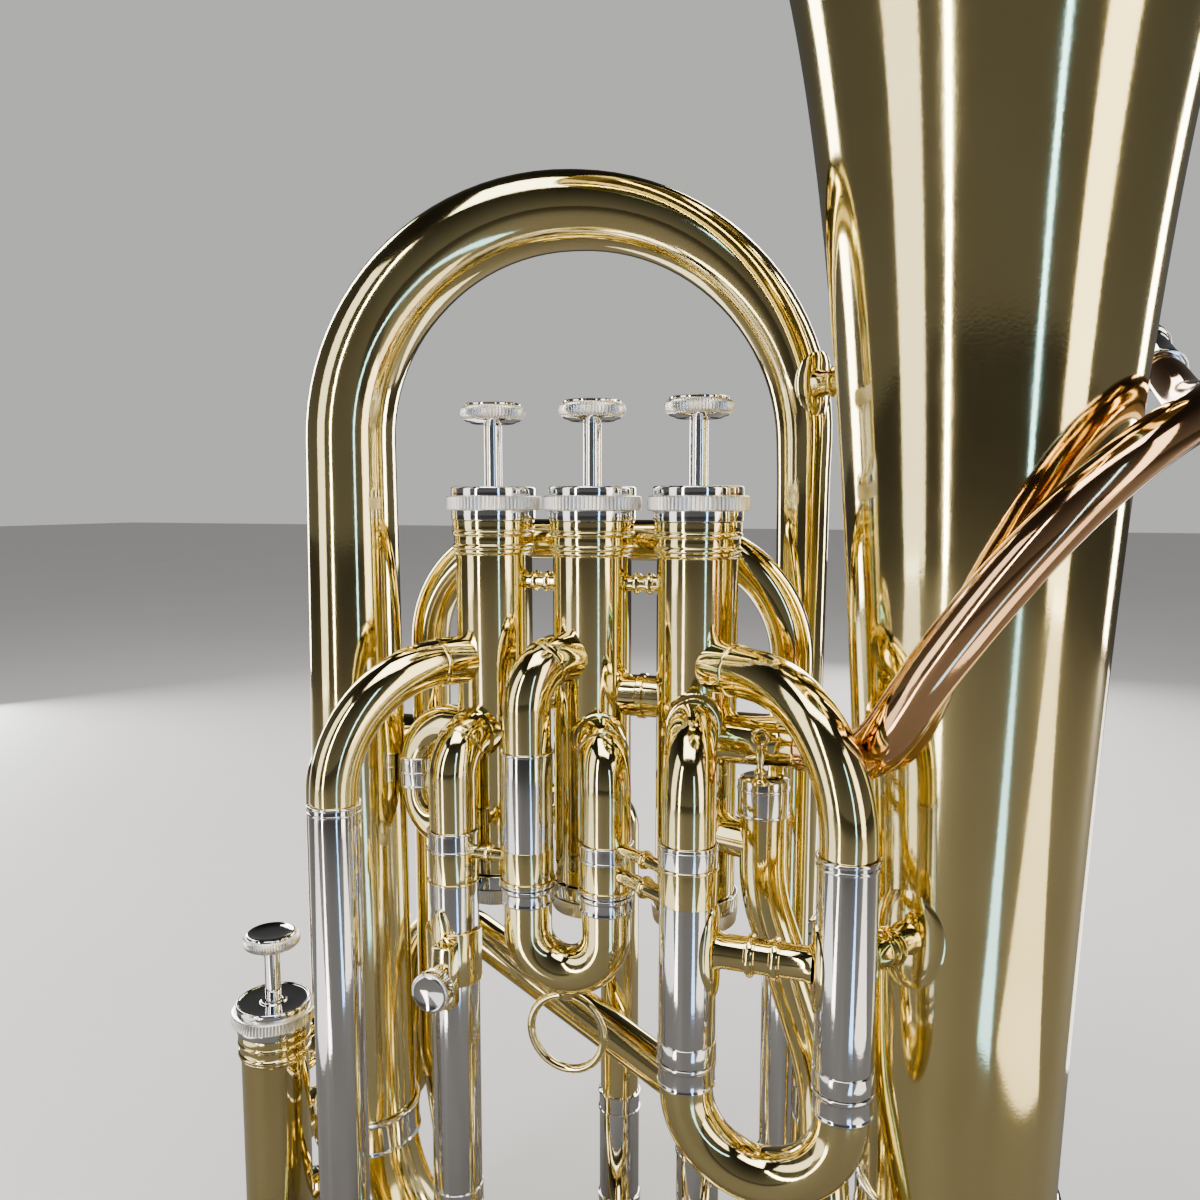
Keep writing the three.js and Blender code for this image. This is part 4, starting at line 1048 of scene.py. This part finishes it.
def water_key():
    """The nipple and its hinge saddle under the main slide's bow, and the sprung lever with a corked cup."""
    pivot, along = (KEY_X, KEY_Y - 9, KEY_Z - 5.6), (1, 0, 0)
    base = block((10.4, 12, 2.0), (KEY_X, KEY_Y - 9, KEY_Z - 2.2), 0.8)
    ears = [block((1.8, 5, 6.4), (KEY_X + side * 4.4, KEY_Y - 9, KEY_Z - 4.2), 0.7) for side in (-1, 1)]
    mouth = (KEY_X, KEY_Y + 3, KEY_Z)
    nipple = turned([(1.8, -4), (2.7, -4), (3.2, -2.5), (3.9, 0.8), (1.8, 0.8)], mouth, sides=40)
    headed = [(0, -6.2), (0.9, -6.2), (0.9, 5.6), (1.7, 5.6), (1.7, 6.8), (0, 6.8)]
    pin = turned(headed, pivot, 0.25, 24, along)
    piece("water_key_base", [base, *ears, nipple, pin], NICKEL, body="main_slide", nodes=["water_key_saddle"])
    z = KEY_Z - 7
    seat = (KEY_X, KEY_Y + 3, z)
    arm = block((4.4, 23, 1.5), (KEY_X, KEY_Y - 6.5, z), 0.6)
    thumb = block((8.5, 7, 1.5), (KEY_X, KEY_Y - 15.5, z), 0.7)
    cup = turned([(0, -0.9), (3.4, -0.9), (4.3, -0.2), (4.3, 1.7), (0, 1.7)], seat, 0.35, 40)
    barrel = turned([(1.0, -3), (1.8, -3), (1.8, 3), (1.0, 3)], pivot, sides=32, way=along)
    turns = (-2.2, -1.6, -1.0, 1.0, 1.6, 2.2)
    coils = [torus(2.1, 0.28, (KEY_X + dx, *pivot[1:]), along, 32, 8) for dx in turns]
    piece("water_key_lever", [arm, thumb, cup, barrel, *coils], NICKEL, body="key_lever", nodes=["water_key"])
    cork = turned([(0, 1.6), (3.6, 1.6), (3.6, 2.75), (0, 2.75)], seat, sides=40)
    piece("water_key_cork", [cork], CORK, body="key_lever")


water_key()


# -------------------------------- floor, light and camera
def glossy_ray(tree):
    return tree.nodes.new("ShaderNodeLightPath").outputs["Is Glossy Ray"]


def floor():
    """Pale paper, darker where the polished metal mirrors it."""
    mesh = bpy.data.meshes.new("floor")
    half = 12
    corners = [(-half, -half, 0), (half, -half, 0), (half, half, 0), (-half, half, 0)]
    mesh.from_pydata(corners, [], [(0, 1, 2, 3)])
    obj = placed("floor", mesh)
    material, tree, shader = node_tree("floor_paper")
    place = tree.nodes.new("ShaderNodeTexCoord").outputs["Object"]
    tint = mixed(tree, noise(tree, place, 3, 5), (0.60, 0.59, 0.57), (0.56, 0.55, 0.54))
    shade = mixed(tree, glossy_ray(tree), tint, (0.13, 0.125, 0.12))
    link(tree, shade, shader.inputs["Base Color"])
    shader.inputs["Roughness"].default_value = 0.7
    mesh.materials.append(material)


def area_light(name, size, power, color, place, turn):
    data = bpy.data.lights.new(name, "AREA")
    data.shape = "RECTANGLE"
    data.size, data.size_y = size
    data.energy = power
    data.color = color
    lamp = placed(name, data)
    lamp.location = place
    lamp.rotation_euler = turn
    lamp.visible_camera = False


def round_about(angle, distance, height):
    """A place at an angle round the instrument. Angle 0 is the -Y side."""
    a = math.radians(angle)
    return Vector((distance * math.sin(a), -distance * math.cos(a), height))


def strip_light(name, angle, distance, height, size, power, color=(1, 1, 1)):
    """A tall softbox turned towards the instrument."""
    place = round_about(angle, distance, height)
    turn = (Vector((0, 0, 0.33)) - place).to_track_quat("-Z", "Y").to_euler()
    area_light(name, size, power, color, place, turn)


def floor_strip(name, angle, width, power, color=(1, 1, 1)):
    """A strip lying on the floor and shining up, so that low tubes get bright lines to mirror too."""
    place = round_about(angle, 1.15, 0.01)
    area_light(name, (width, 1.5), power, color, place, (math.pi, 0, math.radians(angle)))


def studio():
    strip_light("key_panel", -52, 1.6, 0.7, (0.62, 1.9), 7, (1.0, 0.98, 0.95))
    strip_light("key_strip", -24, 1.6, 0.75, (0.10, 1.7), 9, (1.0, 0.97, 0.92))
    strip_light("blue_strip", 37, 1.8, 0.6, (0.09, 1.6), 3.4, (0.30, 0.60, 1.0))
    strip_light("right_panel", 66, 1.6, 0.65, (0.5, 1.8), 9, (1.0, 0.93, 0.80))
    strip_light("left_back", -118, 1.6, 0.8, (0.35, 1.6), 14)
    strip_light("right_back", 128, 1.6, 0.8, (0.28, 1.6), 13)
    strip_light("back_strip", 178, 1.7, 0.9, (0.5, 1.4), 14, (1.0, 0.98, 0.95))
    strip_light("overhead", 10, 0.5, 2.1, (1.4, 1.1), 26)
    floor_strip("floor_key", -24, 0.09, 2.4, (1.0, 0.97, 0.92))
    floor_strip("floor_pale", -54, 0.40, 2.4)
    floor_strip("floor_blue", 37, 0.08, 1.3, (0.30, 0.60, 1.0))
    floor_strip("floor_warm", 68, 0.30, 2.4, (1.0, 0.93, 0.80))
    floor_strip("floor_back", 150, 0.30, 2.4)
    floor_strip("floor_left", -130, 0.30, 2.4)
    # The world is pale grey to the camera and to diffuse light. It is a painted dark reflection in the metal:
    # glossy rays see a dark room, darker upwards.
    world = bpy.data.worlds.new("studio")
    world.use_nodes = True
    tree = world.node_tree
    background = tree.nodes["Background"]
    direction = tree.nodes.new("ShaderNodeTexCoord").outputs["Generated"]
    split = tree.nodes.new("ShaderNodeSeparateXYZ")
    link(tree, direction, split.inputs["Vector"])
    ramp = tree.nodes.new("ShaderNodeValToRGB")
    for element, (place, grey) in zip(ramp.color_ramp.elements, ((0.0, 0.14), (0.8, 0.02))):
        element.position = place
        element.color = (grey, grey, grey, 1)
    link(tree, split.outputs["Z"], ramp.inputs["Fac"])
    room_and_painted_reflection = mixed(tree, glossy_ray(tree), (0.46, 0.455, 0.45), ramp.outputs["Color"])
    link(tree, room_and_painted_reflection, background.inputs["Color"])
    bpy.context.scene.world = world
    bpy.context.scene.view_settings.look = "AgX - Medium High Contrast"


EYE = (119.05, -329.79, 1.71)
EYE_DOWN, EYE_LEFT = 5.819, 19.407


def camera():
    data = bpy.data.cameras.new("view")
    data.lens = 30
    data.sensor_width = 36
    obj = placed("view", data)
    obj.location = HOME + Vector(EYE) * MM
    obj.rotation_euler = (math.radians(90 - EYE_DOWN), 0, math.radians(EYE_LEFT))
    bpy.context.scene.camera = obj


floor()
studio()
camera()
